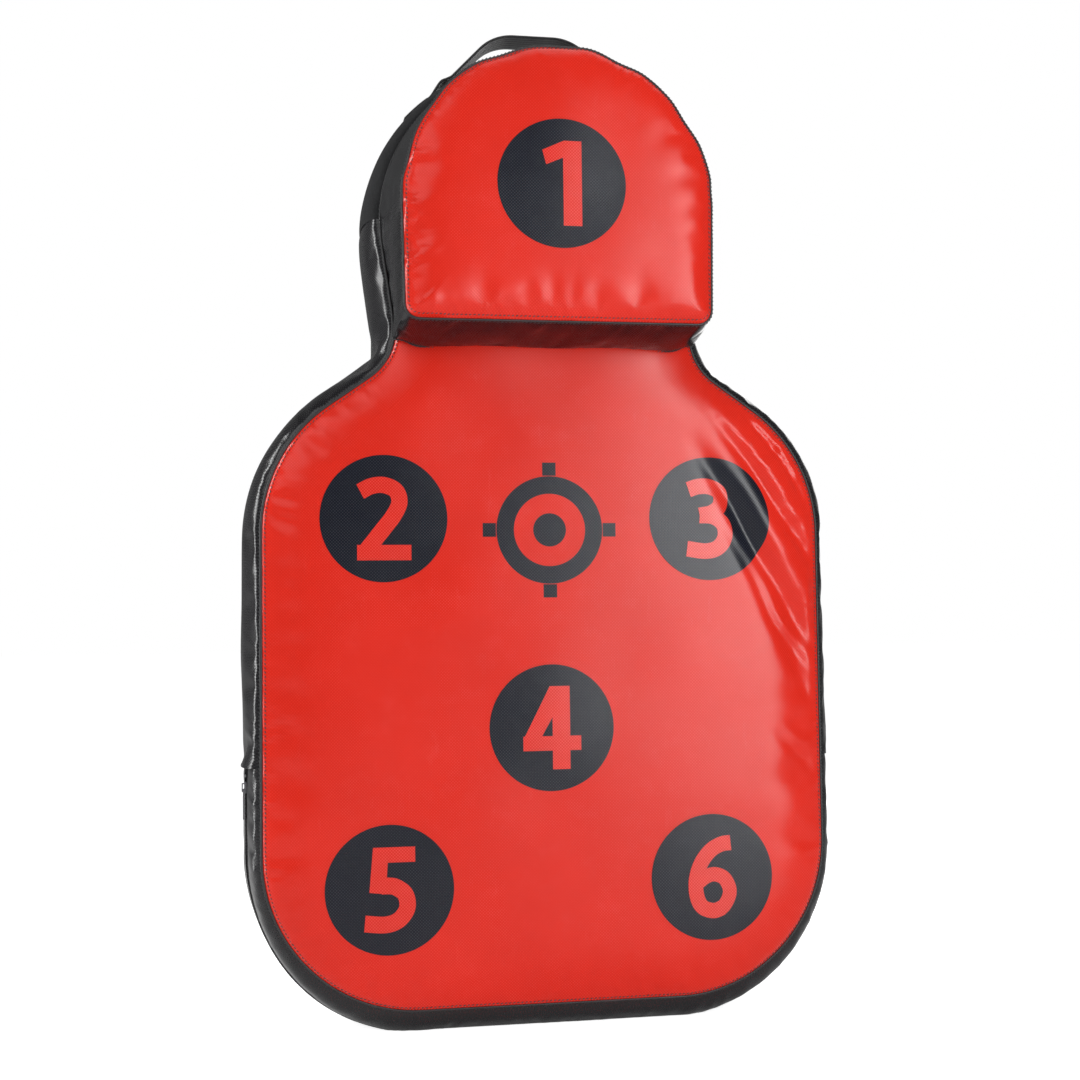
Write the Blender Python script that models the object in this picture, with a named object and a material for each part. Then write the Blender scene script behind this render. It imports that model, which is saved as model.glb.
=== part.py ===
"""A dummy strike shield: a padded head-and-torso silhouette that a partner holds from behind.

Units are metres. +Z is up and the printed front faces -Y. The origin is at floor level, under
the middle of the torso's thickness. Sewn covers are thin closed skins around foam slabs.
"""

import math

import bmesh
import bpy
from mathutils import Matrix, Vector

# Torso
TORSO_DEPTH = 0.150
HALF_WIDTH = 0.290
BOTTOM_SEAM = 0.024
BOTTOM_CORNER_RADIUS = 0.157
SHOULDER_CORNER = (0.290, 0.584)
SHOULDER_RADIUS = 0.157
NECK_CORNER = (0.150, 0.682)
NECK_RADIUS = 0.061
ARCH_HEIGHT = 0.820
ARCH_RADIUS = 0.168
GUSSET_JOINT = 0.266
SIDE_SWELL = 0.017
BOTTOM_SWELL = 0.032
SWELL_POWER = 2.3

# Head block, which stands proud of the torso's own head
HEAD_DEPTH = 0.090
HEAD_FRONT = {"half": 0.153, "bottom": 0.705, "corner": 0.014, "arch": 0.155, "height": 0.825}
HEAD_REAR = {"half": 0.157, "bottom": 0.692, "corner": 0.030, "arch": 0.160, "height": 0.824}
HEAD_SIDE_SWELL = 0.008
HEAD_BOTTOM_SWELL = 0.002

# Skins, seams and foam
SKIN = 0.002
GAP = 0.0003
FOAM_DEPTH = 0.0036
CROWN = 0.010
CROWN_STEPS = ((0.035, 0.0), (0.018, 0.10), (0.006, 0.45), (0.0, 1.0))
HEAD_CROWN_STEPS = ((0.80, 0.0), (0.90, 0.10), (0.965, 0.45), (1.0, 1.0))
STRIKE_FOAM_END = -0.025
CORE_FOAM_END = 0.045

# Zip in the lower gusset
ZIP_LINE = -0.029
ZIP_HALF_SLOT = 0.0115
TAPE_WIDTH = 0.0105
TAPE_DEPTH = 0.0022
TAPE_THICKNESS = 0.001
COIL_WIDTH = 0.00205
COIL_DEPTH = 0.0004
COIL_THICKNESS = 0.0015
SLIDER_HEIGHT = 0.247
SLIDER_LENGTH = 0.011
STOP_HEIGHT = 0.2585

# Webbing handles and forearm straps
WEB = 0.0024
PATCH = 0.0015
TOP_HANDLE_WIDTH = 0.038
TOP_HINGE = (0.0885, 0.9925)
TOP_HANDLE_CROWN = 1.040
TOP_TAB_ARC = (42.0, 53.5)
GRIP_PLACE = (0.105, 0.500)
GRIP_WIDTH = 0.025
GRIP_HALF_SPAN = 0.096
GRIP_REACH = 0.052
GRIP_HINGE_RISE = 0.0086
SLEEVE_LENGTH = 0.110
SLEEVE_HALVES = (0.0175, 0.0140)
TAB_LENGTH = 0.045
FOREARM_PLACE = (0.205, 0.440)
FOREARM_WIDTH = 0.055
FOREARM_HALF_SPAN = 0.085
FOREARM_REACH = 0.0555
FOREARM_WEB = 0.003
FLAP_HINGE_RISE = 0.0078

BACK = TORSO_DEPTH / 2
WALL_HALF = BACK - CROWN - SKIN - GAP


# Materials

def material(name, colour, roughness, metallic=0.0):
    """A Principled material with one colour."""
    made = bpy.data.materials.new(name)
    made.use_nodes = True
    shader = made.node_tree.nodes["Principled BSDF"]
    shader.inputs["Base Color"].default_value = (*colour, 1.0)
    shader.inputs["Roughness"].default_value = roughness
    shader.inputs["Metallic"].default_value = metallic
    return made


PALETTE = {
    "red_coated_fabric": ((0.76, 0.035, 0.018), 0.36, 0.0),
    "black_coated_fabric": ((0.012, 0.012, 0.014), 0.25, 0.0),
    "black_woven": ((0.010, 0.010, 0.011), 0.85, 0.0),
    "webbing": ((0.014, 0.014, 0.015), 0.80, 0.0),
    "foam": ((0.55, 0.55, 0.53), 0.95, 0.0),
    "zip_nylon": ((0.016, 0.016, 0.018), 0.45, 0.0),
    "zip_metal": ((0.33, 0.33, 0.35), 0.30, 1.0),
    "hook_and_loop": ((0.020, 0.020, 0.021), 0.95, 0.0),
}


# Solids

def keep_object(name, mesh, look):
    """Put a mesh in the scene as a named object with a material of its own."""
    colour, roughness, metallic = PALETTE[look]
    mesh.materials.append(material(f"{name}_{look}", colour, roughness, metallic))
    made = bpy.data.objects.new(name, mesh)
    bpy.context.scene.collection.objects.link(made)
    return made


def finish_mesh(name, built, smooth_angle=40.0):
    """Turn a closed bmesh into a mesh whose faces point out, shaded smooth up to an angle."""
    bmesh.ops.remove_doubles(built, verts=built.verts, dist=1e-6)
    bmesh.ops.recalc_face_normals(built, faces=built.faces)
    mesh = bpy.data.meshes.new(name)
    built.to_mesh(mesh)
    built.free()
    mesh.shade_smooth()
    mesh.set_sharp_from_angle(angle=math.radians(smooth_angle))
    return mesh


def lofted_solid(name, loops, look):
    """A solid through closed loops of equally many points, capped at the first and the last."""
    built = bmesh.new()
    rings = [[built.verts.new(point) for point in loop] for loop in loops]
    for ring, following in zip(rings, rings[1:]):
        for i in range(len(ring)):
            j = (i + 1) % len(ring)
            built.faces.new((ring[i], ring[j], following[j], following[i]))
    built.faces.new(rings[0])
    built.faces.new(rings[-1])
    return keep_object(name, finish_mesh(name, built), look)


def sheet_solid(name, outer, inner, look):
    """A thick open sheet between two equal grids of points."""
    built = bmesh.new()
    top = [[built.verts.new(point) for point in row] for row in outer]
    under = [[built.verts.new(point) for point in row] for row in inner]
    rows, columns = len(top), len(top[0])
    for i in range(rows - 1):
        for j in range(columns - 1):
            built.faces.new((top[i][j], top[i][j + 1], top[i + 1][j + 1], top[i + 1][j]))
            built.faces.new((under[i][j], under[i + 1][j], under[i + 1][j + 1], under[i][j + 1]))
    for j in range(columns - 1):
        for i in (0, rows - 1):
            built.faces.new((top[i][j], top[i][j + 1], under[i][j + 1], under[i][j]))
    for i in range(rows - 1):
        for j in (0, columns - 1):
            built.faces.new((top[i][j], top[i + 1][j], under[i + 1][j], under[i][j]))
    return keep_object(name, finish_mesh(name, built), look)


def ring_solid(name, outer, inner, ends, look):
    """A tube between an outer and an inner loop of local (x, z) points, extruded between ends."""
    built = bmesh.new()
    faces = []
    for height in ends:
        faces.append([[built.verts.new((x, z, height)) for x, z in loop] for loop in (outer, inner)])
    count = len(outer)
    for i in range(count):
        j = (i + 1) % count
        for side in (0, 1):
            first, last = faces[0][side], faces[1][side]
            built.faces.new((first[i], first[j], last[j], last[i]))
        for rim in faces:
            built.faces.new((rim[0][i], rim[0][j], rim[1][j], rim[1][i]))
    return keep_object(name, finish_mesh(name, built), look)


def box_mesh(name, low, high):
    """A box between two corners."""
    built = bmesh.new()
    bmesh.ops.create_cube(built, size=1.0)
    size = [high[i] - low[i] for i in range(3)]
    middle = [(high[i] + low[i]) / 2 for i in range(3)]
    bmesh.ops.scale(built, vec=size, verts=built.verts)
    bmesh.ops.translate(built, vec=middle, verts=built.verts)
    return finish_mesh(name, built)


def set_origin(made, pivot):
    """Put an object's origin on its joint's axis and leave its solid in place."""
    made.data.transform(Matrix.Translation(-Vector(pivot)))
    made.location = pivot


def merged(base, pieces):
    """Union pieces into a base object; the pieces stay as hidden guides."""
    for piece in pieces:
        piece.hide_render = True
        piece.display_type = "WIRE"
        union = base.modifiers.new(piece.name, "BOOLEAN")
        union.operation = "UNION"
        union.solver = "EXACT"
        union.object = piece
    return base


# Outlines. A station is (x, z, nx, nz): a point and the unit normal on the right of travel.

def heading_normal(heading):
    return math.sin(heading), -math.cos(heading)


def rounded_path(corners, run, arc):
    """Stations along straight runs whose inner corners (x, z, radius) are rounded."""
    points = [Vector(corner[:2]) for corner in corners]
    first = math.atan2(*(points[1] - points[0]).yx)
    last = math.atan2(*(points[-1] - points[-2]).yx)
    stations = [(*points[0], *heading_normal(first))]
    start = points[0]
    for i, corner in enumerate(corners[1:-1], start=1):
        into = (points[i] - points[i - 1]).normalized()
        out = (points[i + 1] - points[i]).normalized()
        turn = math.atan2(into.x * out.y - into.y * out.x, into.dot(out))
        side = math.copysign(1.0, turn)
        back_off = corner[2] * math.tan(abs(turn) / 2)
        arc_start = points[i] - into * back_off
        stations += straight_run(start, arc_start, run)
        heading = math.atan2(into.y, into.x)
        centre = arc_start - side * corner[2] * Vector(heading_normal(heading))
        steps = max(1, round(abs(turn) / arc))
        for step in range(steps + 1):
            normal = Vector(heading_normal(heading + turn * step / steps))
            stations.append((*(centre + side * corner[2] * normal), *normal))
        start = points[i] + out * back_off
    stations += straight_run(start, points[-1], run)
    stations.append((*points[-1], *heading_normal(last)))
    return stations


def straight_run(start, end, run):
    """Stations strictly inside a straight stretch, at most about a run apart."""
    steps = max(1, round((end - start).length / run))
    nx, nz = heading_normal(math.atan2(end.y - start.y, end.x - start.x))
    inside = [start.lerp(end, step / steps) for step in range(1, steps)]
    return [(point.x, point.y, nx, nz) for point in inside]


def closed_outline(corners, arch_radius, arch_height, run, arc):
    """Both halves of an outline that starts at the bottom centre and ends in a round arch."""
    corner = Vector(corners[-1][:2]) - Vector((0.0, arch_height))
    reach = math.acos(arch_radius / corner.length)
    heading = math.pi / 2 + math.atan2(corner.y, corner.x) + reach
    nx, nz = heading_normal(heading)
    tangent = (arch_radius * nx, arch_height + arch_radius * nz, 0.0)
    half = rounded_path([*corners, tangent], run, arc)
    steps = round((math.pi - heading) / arc)
    for step in range(1, steps + 1):
        nx, nz = heading_normal(heading + (math.pi - heading) * step / steps)
        half.append((arch_radius * nx, arch_height + arch_radius * nz, nx, nz))
    half[-1] = (0.0, arch_height + arch_radius, 0.0, 1.0)
    other = [(-x, z, -nx, nz) for x, z, nx, nz in reversed(half[1:-1])]
    return half + other


def torso_outline():
    corners = [
        (0.0, BOTTOM_SEAM, 0.0),
        (HALF_WIDTH, BOTTOM_SEAM, BOTTOM_CORNER_RADIUS),
        (*SHOULDER_CORNER, SHOULDER_RADIUS),
        (*NECK_CORNER, NECK_RADIUS),
    ]
    return closed_outline(corners, ARCH_RADIUS, ARCH_HEIGHT, 0.075, math.radians(10.5))


def head_outline(shape):
    corners = [(0.0, shape["bottom"], 0.0), (shape["half"], shape["bottom"], shape["corner"])]
    return closed_outline(corners, shape["arch"], shape["height"], 0.08, math.radians(15.0))


def index_at_height(outline, height):
    """The fractional place on the right half of an outline where it passes a height."""
    for i, (first, second) in enumerate(zip(outline, outline[1:])):
        if first[1] <= height < second[1]:
            return i + (height - first[1]) / (second[1] - first[1])
    raise ValueError("the outline never reaches that height")


def cut_outline(outline, start, end, trim=GAP / 2):
    """The stations from one fractional place to another, each end trimmed by a small length."""
    count = len(outline)

    def station(place):
        first, second = outline[math.floor(place) % count], outline[math.ceil(place) % count]
        part = place - math.floor(place)
        return tuple(a + (b - a) * part for a, b in zip(first, second))

    def step_length(place):
        first, second = outline[math.floor(place) % count], outline[math.floor(place + 1) % count]
        return math.dist(first[:2], second[:2])

    start += trim / step_length(start)
    end -= trim / step_length(end - 1e-6)
    places = [start, *range(math.ceil(start + 1e-6), math.ceil(end - 1e-6)), end]
    return [station(place) for place in places]


# Torso surfaces

def swell(part):
    """How far a wall bulges between its seams, from 0 at a seam to 1 halfway."""
    return (1.0 - min(1.0, abs(part)) ** SWELL_POWER) ** (1.0 / SWELL_POWER)


def torso_wall_point(station, y, depth):
    """A point of the torso's side wall, a depth below its outer surface, flat on the floor."""
    x, z, nx, nz = station
    amount = SIDE_SWELL + (BOTTOM_SWELL - SIDE_SWELL) * max(0.0, -nz) ** 2
    out = amount * swell(y / WALL_HALF) - depth
    return x + nx * out, y, max(z + nz * out, depth)


def torso_wall(name, stations, levels, look, depth=0.0, thickness=SKIN):
    outer = [[torso_wall_point(s, y, depth) for y in levels] for s in stations]
    inner = [[torso_wall_point(s, y, depth + thickness) for y in levels] for s in stations]
    return sheet_solid(name, outer, inner, look)


def panel_loop(outline, inset, y):
    return [(x - nx * inset, y, z - nz * inset) for x, z, nx, nz in outline]


def torso_panel(name, outline, side, look):
    """A crowned front (side -1) or back (side +1) panel, sewn along the outline."""
    outer = [panel_loop(outline, inset, side * (BACK - CROWN * drop)) for inset, drop in CROWN_STEPS]
    inner = [
        panel_loop(outline, inset, side * (BACK - CROWN * drop - SKIN)) for inset, drop in CROWN_STEPS
    ]
    return lofted_solid(name, outer + inner[::-1], look)


def foam_face(outline, side):
    """Loops just under a panel, from its middle to near its edge."""
    return [
        panel_loop(outline, inset, side * (BACK - CROWN * drop - SKIN - GAP))
        for inset, drop in CROWN_STEPS[:-1]
    ]


def foam_sides(outline, levels):
    return [[torso_wall_point(s, y, FOAM_DEPTH) for s in outline] for y in levels]


FRONT_LEVELS = (-WALL_HALF, -0.059, -0.051, ZIP_LINE - ZIP_HALF_SLOT)
REAR_LEVELS = (ZIP_LINE + ZIP_HALF_SLOT, 0.010, CORE_FOAM_END, 0.0525, 0.059, WALL_HALF)


def build_torso():
    outline = torso_outline()
    count = len(outline)
    low = index_at_height(outline, GUSSET_JOINT)
    high = index_at_height(outline, ARCH_HEIGHT)
    torso_panel("torso_front_panel", outline, -1, "red_coated_fabric")
    torso_panel("torso_back_panel", outline, 1, "black_coated_fabric")

    levels = (*FRONT_LEVELS, *REAR_LEVELS)
    torso_wall("right_side_gusset", cut_outline(outline, low, high), levels, "black_coated_fabric")
    arch = cut_outline(outline, high, count - high)
    torso_wall("head_arch_gusset", arch, levels, "black_woven")
    left = cut_outline(outline, count - high, count - low)
    torso_wall("left_side_gusset", left, levels, "black_coated_fabric")

    lower = cut_outline(outline, count - low, count + low)
    torso_wall("lower_front_gusset", lower, FRONT_LEVELS, "black_coated_fabric")
    torso_wall("lower_rear_gusset", lower, REAR_LEVELS, "black_coated_fabric")
    build_zip(lower)

    strike = [STRIKE_FOAM_END, -0.0405, -0.051, -0.059, -WALL_HALF]
    loops = foam_face(outline, -1) + foam_sides(outline, strike[::-1])
    lofted_solid("torso_strike_foam", loops, "foam")
    core = [STRIKE_FOAM_END + GAP, -0.0175, 0.010, CORE_FOAM_END]
    lofted_solid("torso_core_foam", foam_sides(outline, core), "foam")
    backing = [CORE_FOAM_END + GAP, 0.0525, 0.059, WALL_HALF]
    loops = foam_sides(outline, backing) + foam_face(outline, 1)[::-1]
    lofted_solid("torso_backing_foam", loops, "foam")


# Zip

def build_zip(stations):
    """Two tapes and two coil halves that run round the lower gusset, with a stop at each end."""
    middle_gap = GAP / 2
    for name, side in (("front", -1), ("rear", 1)):
        near = ZIP_LINE + side * 0.0005
        far = near + side * TAPE_WIDTH
        tape = sorted((near, far))
        torso_wall(f"zip_tape_{name}", stations, tape, "zip_nylon", TAPE_DEPTH, TAPE_THICKNESS)
        near = ZIP_LINE + side * middle_gap
        coil = sorted((near, near + side * COIL_WIDTH))
        torso_wall(f"zip_coil_{name}", stations, coil, "zip_nylon", COIL_DEPTH, COIL_THICKNESS)
    for name, side in (("left", -1), ("right", 1)):
        stop = keep_object(
            f"zip_stop_{name}",
            box_mesh(f"zip_stop_{name}", (-0.0027, 0.0003, -0.00125), (0.0027, 0.0014, 0.00125)),
            "zip_metal",
        )
        stop.matrix_world = zip_frame(STOP_HEIGHT, side)
    build_slider()


def zip_frame(height, side=-1):
    """Local axes on the zip: x across it, y outward from the coil, z up. Origin on the coil."""
    step = 0.001
    before, here, after = (
        Vector(torso_wall_point((HALF_WIDTH, height, 1.0, 0.0), y, COIL_DEPTH))
        for y in (ZIP_LINE - step, ZIP_LINE, ZIP_LINE + step)
    )
    across = (after - before).normalized()
    outward = Vector((across.y, -across.x, 0.0))
    if side < 0:
        here.x, across.x, outward.x = -here.x, -across.x, -outward.x
    up = Vector((0.0, 0.0, 1.0))
    if side > 0:
        across = -across
    rotation = Matrix((across, outward, across.cross(outward))).transposed()
    return Matrix.Translation((here.x, here.y, height)) @ rotation.to_4x4()


def build_slider():
    """A slider that straddles the coil, with a pull that hinges under its bridge."""
    frame = zip_frame(SLIDER_HEIGHT)
    half = SLIDER_LENGTH / 2
    plate = box_mesh("zip_slider", (-0.0048, 0.0003, -half), (0.0048, 0.0018, half))
    slider = keep_object("zip_slider", plate, "zip_metal")
    boxes = {
        "slider_flange_front": ((-0.0048, -0.0013, -half), (-0.0029, 0.0010, half)),
        "slider_flange_rear": ((0.0029, -0.0013, -half), (0.0048, 0.0010, half)),
        "slider_post_low": ((-0.0010, 0.0010, -0.0045), (0.0010, 0.0046, -0.0033)),
        "slider_post_high": ((-0.0010, 0.0010, 0.0033), (0.0010, 0.0046, 0.0045)),
        "slider_bridge": ((-0.0010, 0.0036, -0.0040), (0.0010, 0.0047, 0.0040)),
    }
    guides = [keep_object(name, box_mesh(name, *corners), "zip_metal") for name, corners in boxes.items()]
    merged(slider, guides)

    arm = 0.0080
    hinge = Vector((0.0, 0.0027, -0.0020))
    bar = box_mesh("zip_pull", (-0.0030, -0.00055, -0.00055), (0.0030, 0.00055, 0.00055))
    pull = keep_object("zip_pull", bar, "zip_metal")
    boxes = {
        "pull_arm_front": ((-0.0030, -0.0006, -arm), (-0.0016, 0.0006, 0.0005)),
        "pull_arm_rear": ((0.0016, -0.0006, -arm), (0.0030, 0.0006, 0.0005)),
        "pull_tab": ((-0.0034, -0.0007, -0.0300), (0.0034, 0.0007, -arm + 0.0010)),
    }
    tabs = [keep_object(name, box_mesh(name, *corners), "zip_metal") for name, corners in boxes.items()]
    merged(pull, tabs)
    for piece in (slider, *guides):
        piece.matrix_world = frame
    for piece in (pull, *tabs):
        piece.matrix_world = frame @ Matrix.Translation(hinge)


# Head block

HEAD_FACE = -BACK - HEAD_DEPTH
HEAD_WALL_START = HEAD_FACE + CROWN + SKIN + GAP
HEAD_WALL_END = -BACK - 2 * GAP


def head_stations(front, rear, y):
    """The head block's outline at a depth between its front seam and the torso."""
    part = (y - HEAD_WALL_START) / (HEAD_WALL_END - HEAD_WALL_START)
    part = min(1.0, max(0.0, part))
    return [tuple(a + (b - a) * part for a, b in zip(f, r)) for f, r in zip(front, rear)]


def head_wall_point(pair, y, depth):
    """A point of the head block's wall, from its front and rear stations."""
    (x, z, nx, nz), = head_stations([pair[0]], [pair[1]], y)
    part = 2.0 * (y - HEAD_WALL_START) / (HEAD_WALL_END - HEAD_WALL_START) - 1.0
    amount = HEAD_SIDE_SWELL + (HEAD_BOTTOM_SWELL - HEAD_SIDE_SWELL) * max(0.0, -nz)
    out = amount * swell(part) - depth
    return x + nx * out, y, z + nz * out


def head_wall(name, front, rear, look):
    span = HEAD_WALL_END - HEAD_WALL_START
    levels = [HEAD_WALL_START + span * part for part in (0.0, 0.06, 0.22, 0.5, 0.78, 0.94, 1.0)]
    pairs = list(zip(front, rear))
    outer = [[head_wall_point(pair, y, 0.0) for y in levels] for pair in pairs]
    inner = [[head_wall_point(pair, y, SKIN) for y in levels] for pair in pairs]
    return sheet_solid(name, outer, inner, look)


def scaled_loop(outline, factor, y):
    middle = HEAD_FRONT["height"]
    return [(x * factor, y, middle + (z - middle) * factor) for x, z, _, _ in outline]


def build_head():
    front, rear = head_outline(HEAD_FRONT), head_outline(HEAD_REAR)
    count = len(front)
    outer = [scaled_loop(front, k, HEAD_FACE + CROWN * drop) for k, drop in HEAD_CROWN_STEPS]
    inner = [scaled_loop(front, k, HEAD_FACE + CROWN * drop + SKIN) for k, drop in HEAD_CROWN_STEPS]
    lofted_solid("head_front_panel", outer + inner[::-1], "red_coated_fabric")

    corner = 5
    joint = index_at_height(front, HEAD_FRONT["height"] - 0.004)
    places = {
        "head_block_bottom_gusset": (count - corner, count + corner, "black_coated_fabric"),
        "head_block_right_gusset": (corner, joint, "black_coated_fabric"),
        "head_block_arch_gusset": (joint, count - joint, "black_woven"),
        "head_block_left_gusset": (count - joint, count - corner, "black_coated_fabric"),
    }
    for name, (start, end, look) in places.items():
        head_wall(name, cut_outline(front, start, end), cut_outline(rear, start, end), look)

    pairs = list(zip(front, rear))
    split = HEAD_WALL_START + 0.030
    face = [
        scaled_loop(front, k, HEAD_FACE + CROWN * drop + SKIN + GAP)
        for k, drop in HEAD_CROWN_STEPS[:-1]
    ]

    def sides(levels):
        return [[head_wall_point(pair, y, FOAM_DEPTH) for pair in pairs] for y in levels]

    lofted_solid("head_strike_foam", face + sides((HEAD_WALL_START, -0.140, split)), "foam")
    lofted_solid("head_core_foam", sides((split + GAP, -0.095, HEAD_WALL_END)), "foam")


# Webbing

def web_grid(path, half_width, offset, place):
    """Two columns of points along a path of (s, h) stations, offset along its left side."""
    rows = []
    for s, h, ns, nh in path:
        s, h = s - ns * offset, h - nh * offset
        rows.append([place(s, h, -half_width), place(s, h, half_width)])
    return rows


def web_strip(name, path, width, thickness, place, look="webbing"):
    """A flat strap of even thickness along a path."""
    outer = web_grid(path, width / 2, thickness / 2, place)
    inner = web_grid(path, width / 2, -thickness / 2, place)
    return sheet_solid(name, outer, inner, look)


def on_back(x, z):
    """Places a strap on the back: s runs up, h stands out from the panel, w runs across."""
    def place(s, h, w):
        return x + w, BACK + h, z + s
    return place


def patch(name, x, z, half_width, half_height):
    """A reinforcement patch with cut corners, sewn on the back panel."""
    clip = 0.010
    outline = [
        (half_width - clip, -half_height), (half_width, -half_height + clip),
        (half_width, half_height - clip), (half_width - clip, half_height),
        (clip - half_width, half_height), (-half_width, half_height - clip),
        (-half_width, clip - half_height), (clip - half_width, -half_height),
    ]
    loops = [
        [(x + u, BACK + h, z + v) for u, v in outline] for h in (GAP, GAP + PATCH)
    ]
    lofted_solid(name, loops, "black_coated_fabric")


TAB_RISE = GAP + PATCH + GAP + WEB / 2


def build_grip(side, x, z):
    """A padded grip: a webbing arch and its sleeve, hinged on the two tabs that are sewn flat."""
    place = on_back(x, z)
    patch(f"{side}_grip_patch", x, z, 0.030, GRIP_HALF_SPAN + TAB_LENGTH + 0.008)
    end, ramp = GRIP_HALF_SPAN, 0.014
    climb, flat = 0.025, 0.008
    arch = rounded_path(
        [
            (-end, GRIP_HINGE_RISE, 0.0),
            (flat - end, GRIP_HINGE_RISE, 0.008),
            (flat + climb - end, GRIP_REACH, 0.012),
            (end - flat - climb, GRIP_REACH, 0.012),
            (end - flat, GRIP_HINGE_RISE, 0.008),
            (end, GRIP_HINGE_RISE, 0.0),
        ],
        0.040,
        math.radians(20.0),
    )
    pivot = place(0.0, GRIP_HINGE_RISE, 0.0)
    set_origin(web_strip(f"{side}_grip_webbing", arch, GRIP_WIDTH, WEB, place), pivot)
    set_origin(build_sleeve(side, place), pivot)
    for name, way in (("lower", -1), ("upper", 1)):
        near = way * (end + GAP)
        corners = [
            (near, GRIP_HINGE_RISE, 0.0),
            (near + way * 0.003, GRIP_HINGE_RISE, 0.006),
            (near + way * ramp, TAB_RISE, 0.010),
            (near + way * TAB_LENGTH, TAB_RISE, 0.0),
        ]
        tab = rounded_path(corners, 0.040, math.radians(20.0))
        web_strip(f"{side}_grip_{name}_tab", tab, GRIP_WIDTH, WEB, place)


def build_sleeve(side, place):
    """The padded sleeve round the straight middle of a grip's webbing."""
    count = 20
    hole = (GRIP_WIDTH / 2 + GAP, WEB / 2 + GAP)
    outer, inner = [], []
    for i in range(count):
        angle = 2 * math.pi * (i + 0.5) / count
        c, s = math.cos(angle), math.sin(angle)
        outer.append((SLEEVE_HALVES[0] * c, SLEEVE_HALVES[1] * s))
        inner.append([half * max(-1.0, min(1.0, 1.45 * way)) for half, way in zip(hole, (c, s))])
    ends = (-SLEEVE_LENGTH / 2, SLEEVE_LENGTH / 2)
    sleeve = ring_solid(f"{side}_grip_sleeve", outer, inner, ends, "black_coated_fabric")
    sleeve.data.transform(Matrix.Translation(place(0.0, GRIP_REACH, 0.0)))
    return sleeve


def build_forearm_strap(side, x, z):
    """A strap for the forearm: a fixed lower half and a flap that closes on it, hook on loop."""
    place = on_back(x, z)
    patch(f"{side}_forearm_patch", x, z, 0.0375, FOREARM_HALF_SPAN + 0.045)
    end, reach, web = FOREARM_HALF_SPAN, FOREARM_REACH, FOREARM_WEB
    tab_rise = GAP + PATCH + GAP + web / 2
    under_top = 0.055
    under = rounded_path(
        [
            (-end - 0.036, tab_rise, 0.0),
            (-end, tab_rise, 0.010),
            (-end + 0.016, reach, 0.022),
            (under_top, reach, 0.0),
        ],
        0.040,
        math.radians(18.0),
    )
    web_strip(f"{side}_forearm_under_strap", under, FOREARM_WIDTH, web, place)

    loop_pad = [reach + web / 2 + GAP, reach + web / 2 + GAP + 0.0012]
    hook_pad = [loop_pad[1] + GAP, loop_pad[1] + GAP + 0.0010]
    flap_reach = hook_pad[1] + GAP + web / 2
    pads = {}
    for name, (low, high), (start, stop), half in (
        ("loop_pad", loop_pad, (-0.045, 0.050), 0.0225),
        ("hook_pad", hook_pad, (-0.030, 0.030), 0.0215),
    ):
        loops = [
            [place(s, h, w) for s, w in ((start, -half), (stop, -half), (stop, half), (start, half))]
            for h in (low, high)
        ]
        pads[name] = lofted_solid(f"{side}_forearm_{name}", loops, "hook_and_loop")

    flap = rounded_path(
        [
            (end, FLAP_HINGE_RISE, 0.0),
            (end - 0.010, flap_reach, 0.020),
            (-0.040, flap_reach, 0.0),
        ],
        0.040,
        math.radians(18.0),
    )
    pivot = place(end, FLAP_HINGE_RISE, 0.0)
    set_origin(web_strip(f"{side}_forearm_flap", flap, FOREARM_WIDTH, web, place), pivot)
    set_origin(pads["hook_pad"], pivot)
    tab = [(end + 0.005, tab_rise, 0.0, -1.0), (end + 0.036, tab_rise, 0.0, -1.0)]
    web_strip(f"{side}_forearm_flap_tab", tab, FOREARM_WIDTH, web, place)


def build_top_handle():
    """The carrying handle over the head: an arch of webbing hinged on two sewn tabs."""
    def place(s, h, w):
        return s, w, h

    hinge_x, hinge_z = TOP_HINGE
    corners = [
        (-hinge_x, hinge_z, 0.0),
        (-0.043, TOP_HANDLE_CROWN, 0.050),
        (0.043, TOP_HANDLE_CROWN, 0.050),
        (hinge_x, hinge_z, 0.0),
    ]
    arch = rounded_path(corners, 0.030, math.radians(9.0))
    arch[0] = (-hinge_x, hinge_z, 0.0, 1.0 / arch[0][3])
    arch[-1] = (hinge_x, hinge_z, 0.0, 1.0 / arch[-1][3])
    handle = web_strip("top_handle_webbing", arch, TOP_HANDLE_WIDTH, WEB, place)
    set_origin(handle, (0.0, 0.0, hinge_z))

    surface = ARCH_RADIUS + SIDE_SWELL + GAP + WEB / 2
    near = hinge_x + 2 * GAP
    start, stop = (math.radians(angle) for angle in TOP_TAB_ARC)
    for name, side in (("left", -1), ("right", 1)):
        tab = []
        for step in range(4):
            angle = start + (stop - start) * step / 3
            nx, nz = math.cos(angle), math.sin(angle)
            tab.append((side * surface * nx, ARCH_HEIGHT + surface * nz, side * nx, nz))
        lift = Vector((near - abs(tab[-1][0]), hinge_z - tab[-1][1])).normalized()
        tab.append((side * near, hinge_z, 0.0, -1.0 / lift.x))
        web_strip(f"top_handle_{name}_tab", tab, TOP_HANDLE_WIDTH, WEB, place)


def main():
    for old in list(bpy.data.objects):
        bpy.data.objects.remove(old, do_unlink=True)
    build_torso()
    build_head()
    build_top_handle()
    for side, way in (("left", -1), ("right", 1)):
        build_grip(side, way * GRIP_PLACE[0], GRIP_PLACE[1])
        build_forearm_strap(side, way * FOREARM_PLACE[0], FOREARM_PLACE[1])


main()
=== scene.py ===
"""Looks of the dummy strike shield: sewn covers, printed targets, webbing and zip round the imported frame.

Units are metres, in the frame's own axes: +Z is up, the printed front faces -Y and the floor is z = 0.
"""

import math

import bmesh
import bpy
import numpy as np
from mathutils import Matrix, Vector, geometry
from mathutils.bvhtree import BVHTree


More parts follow.
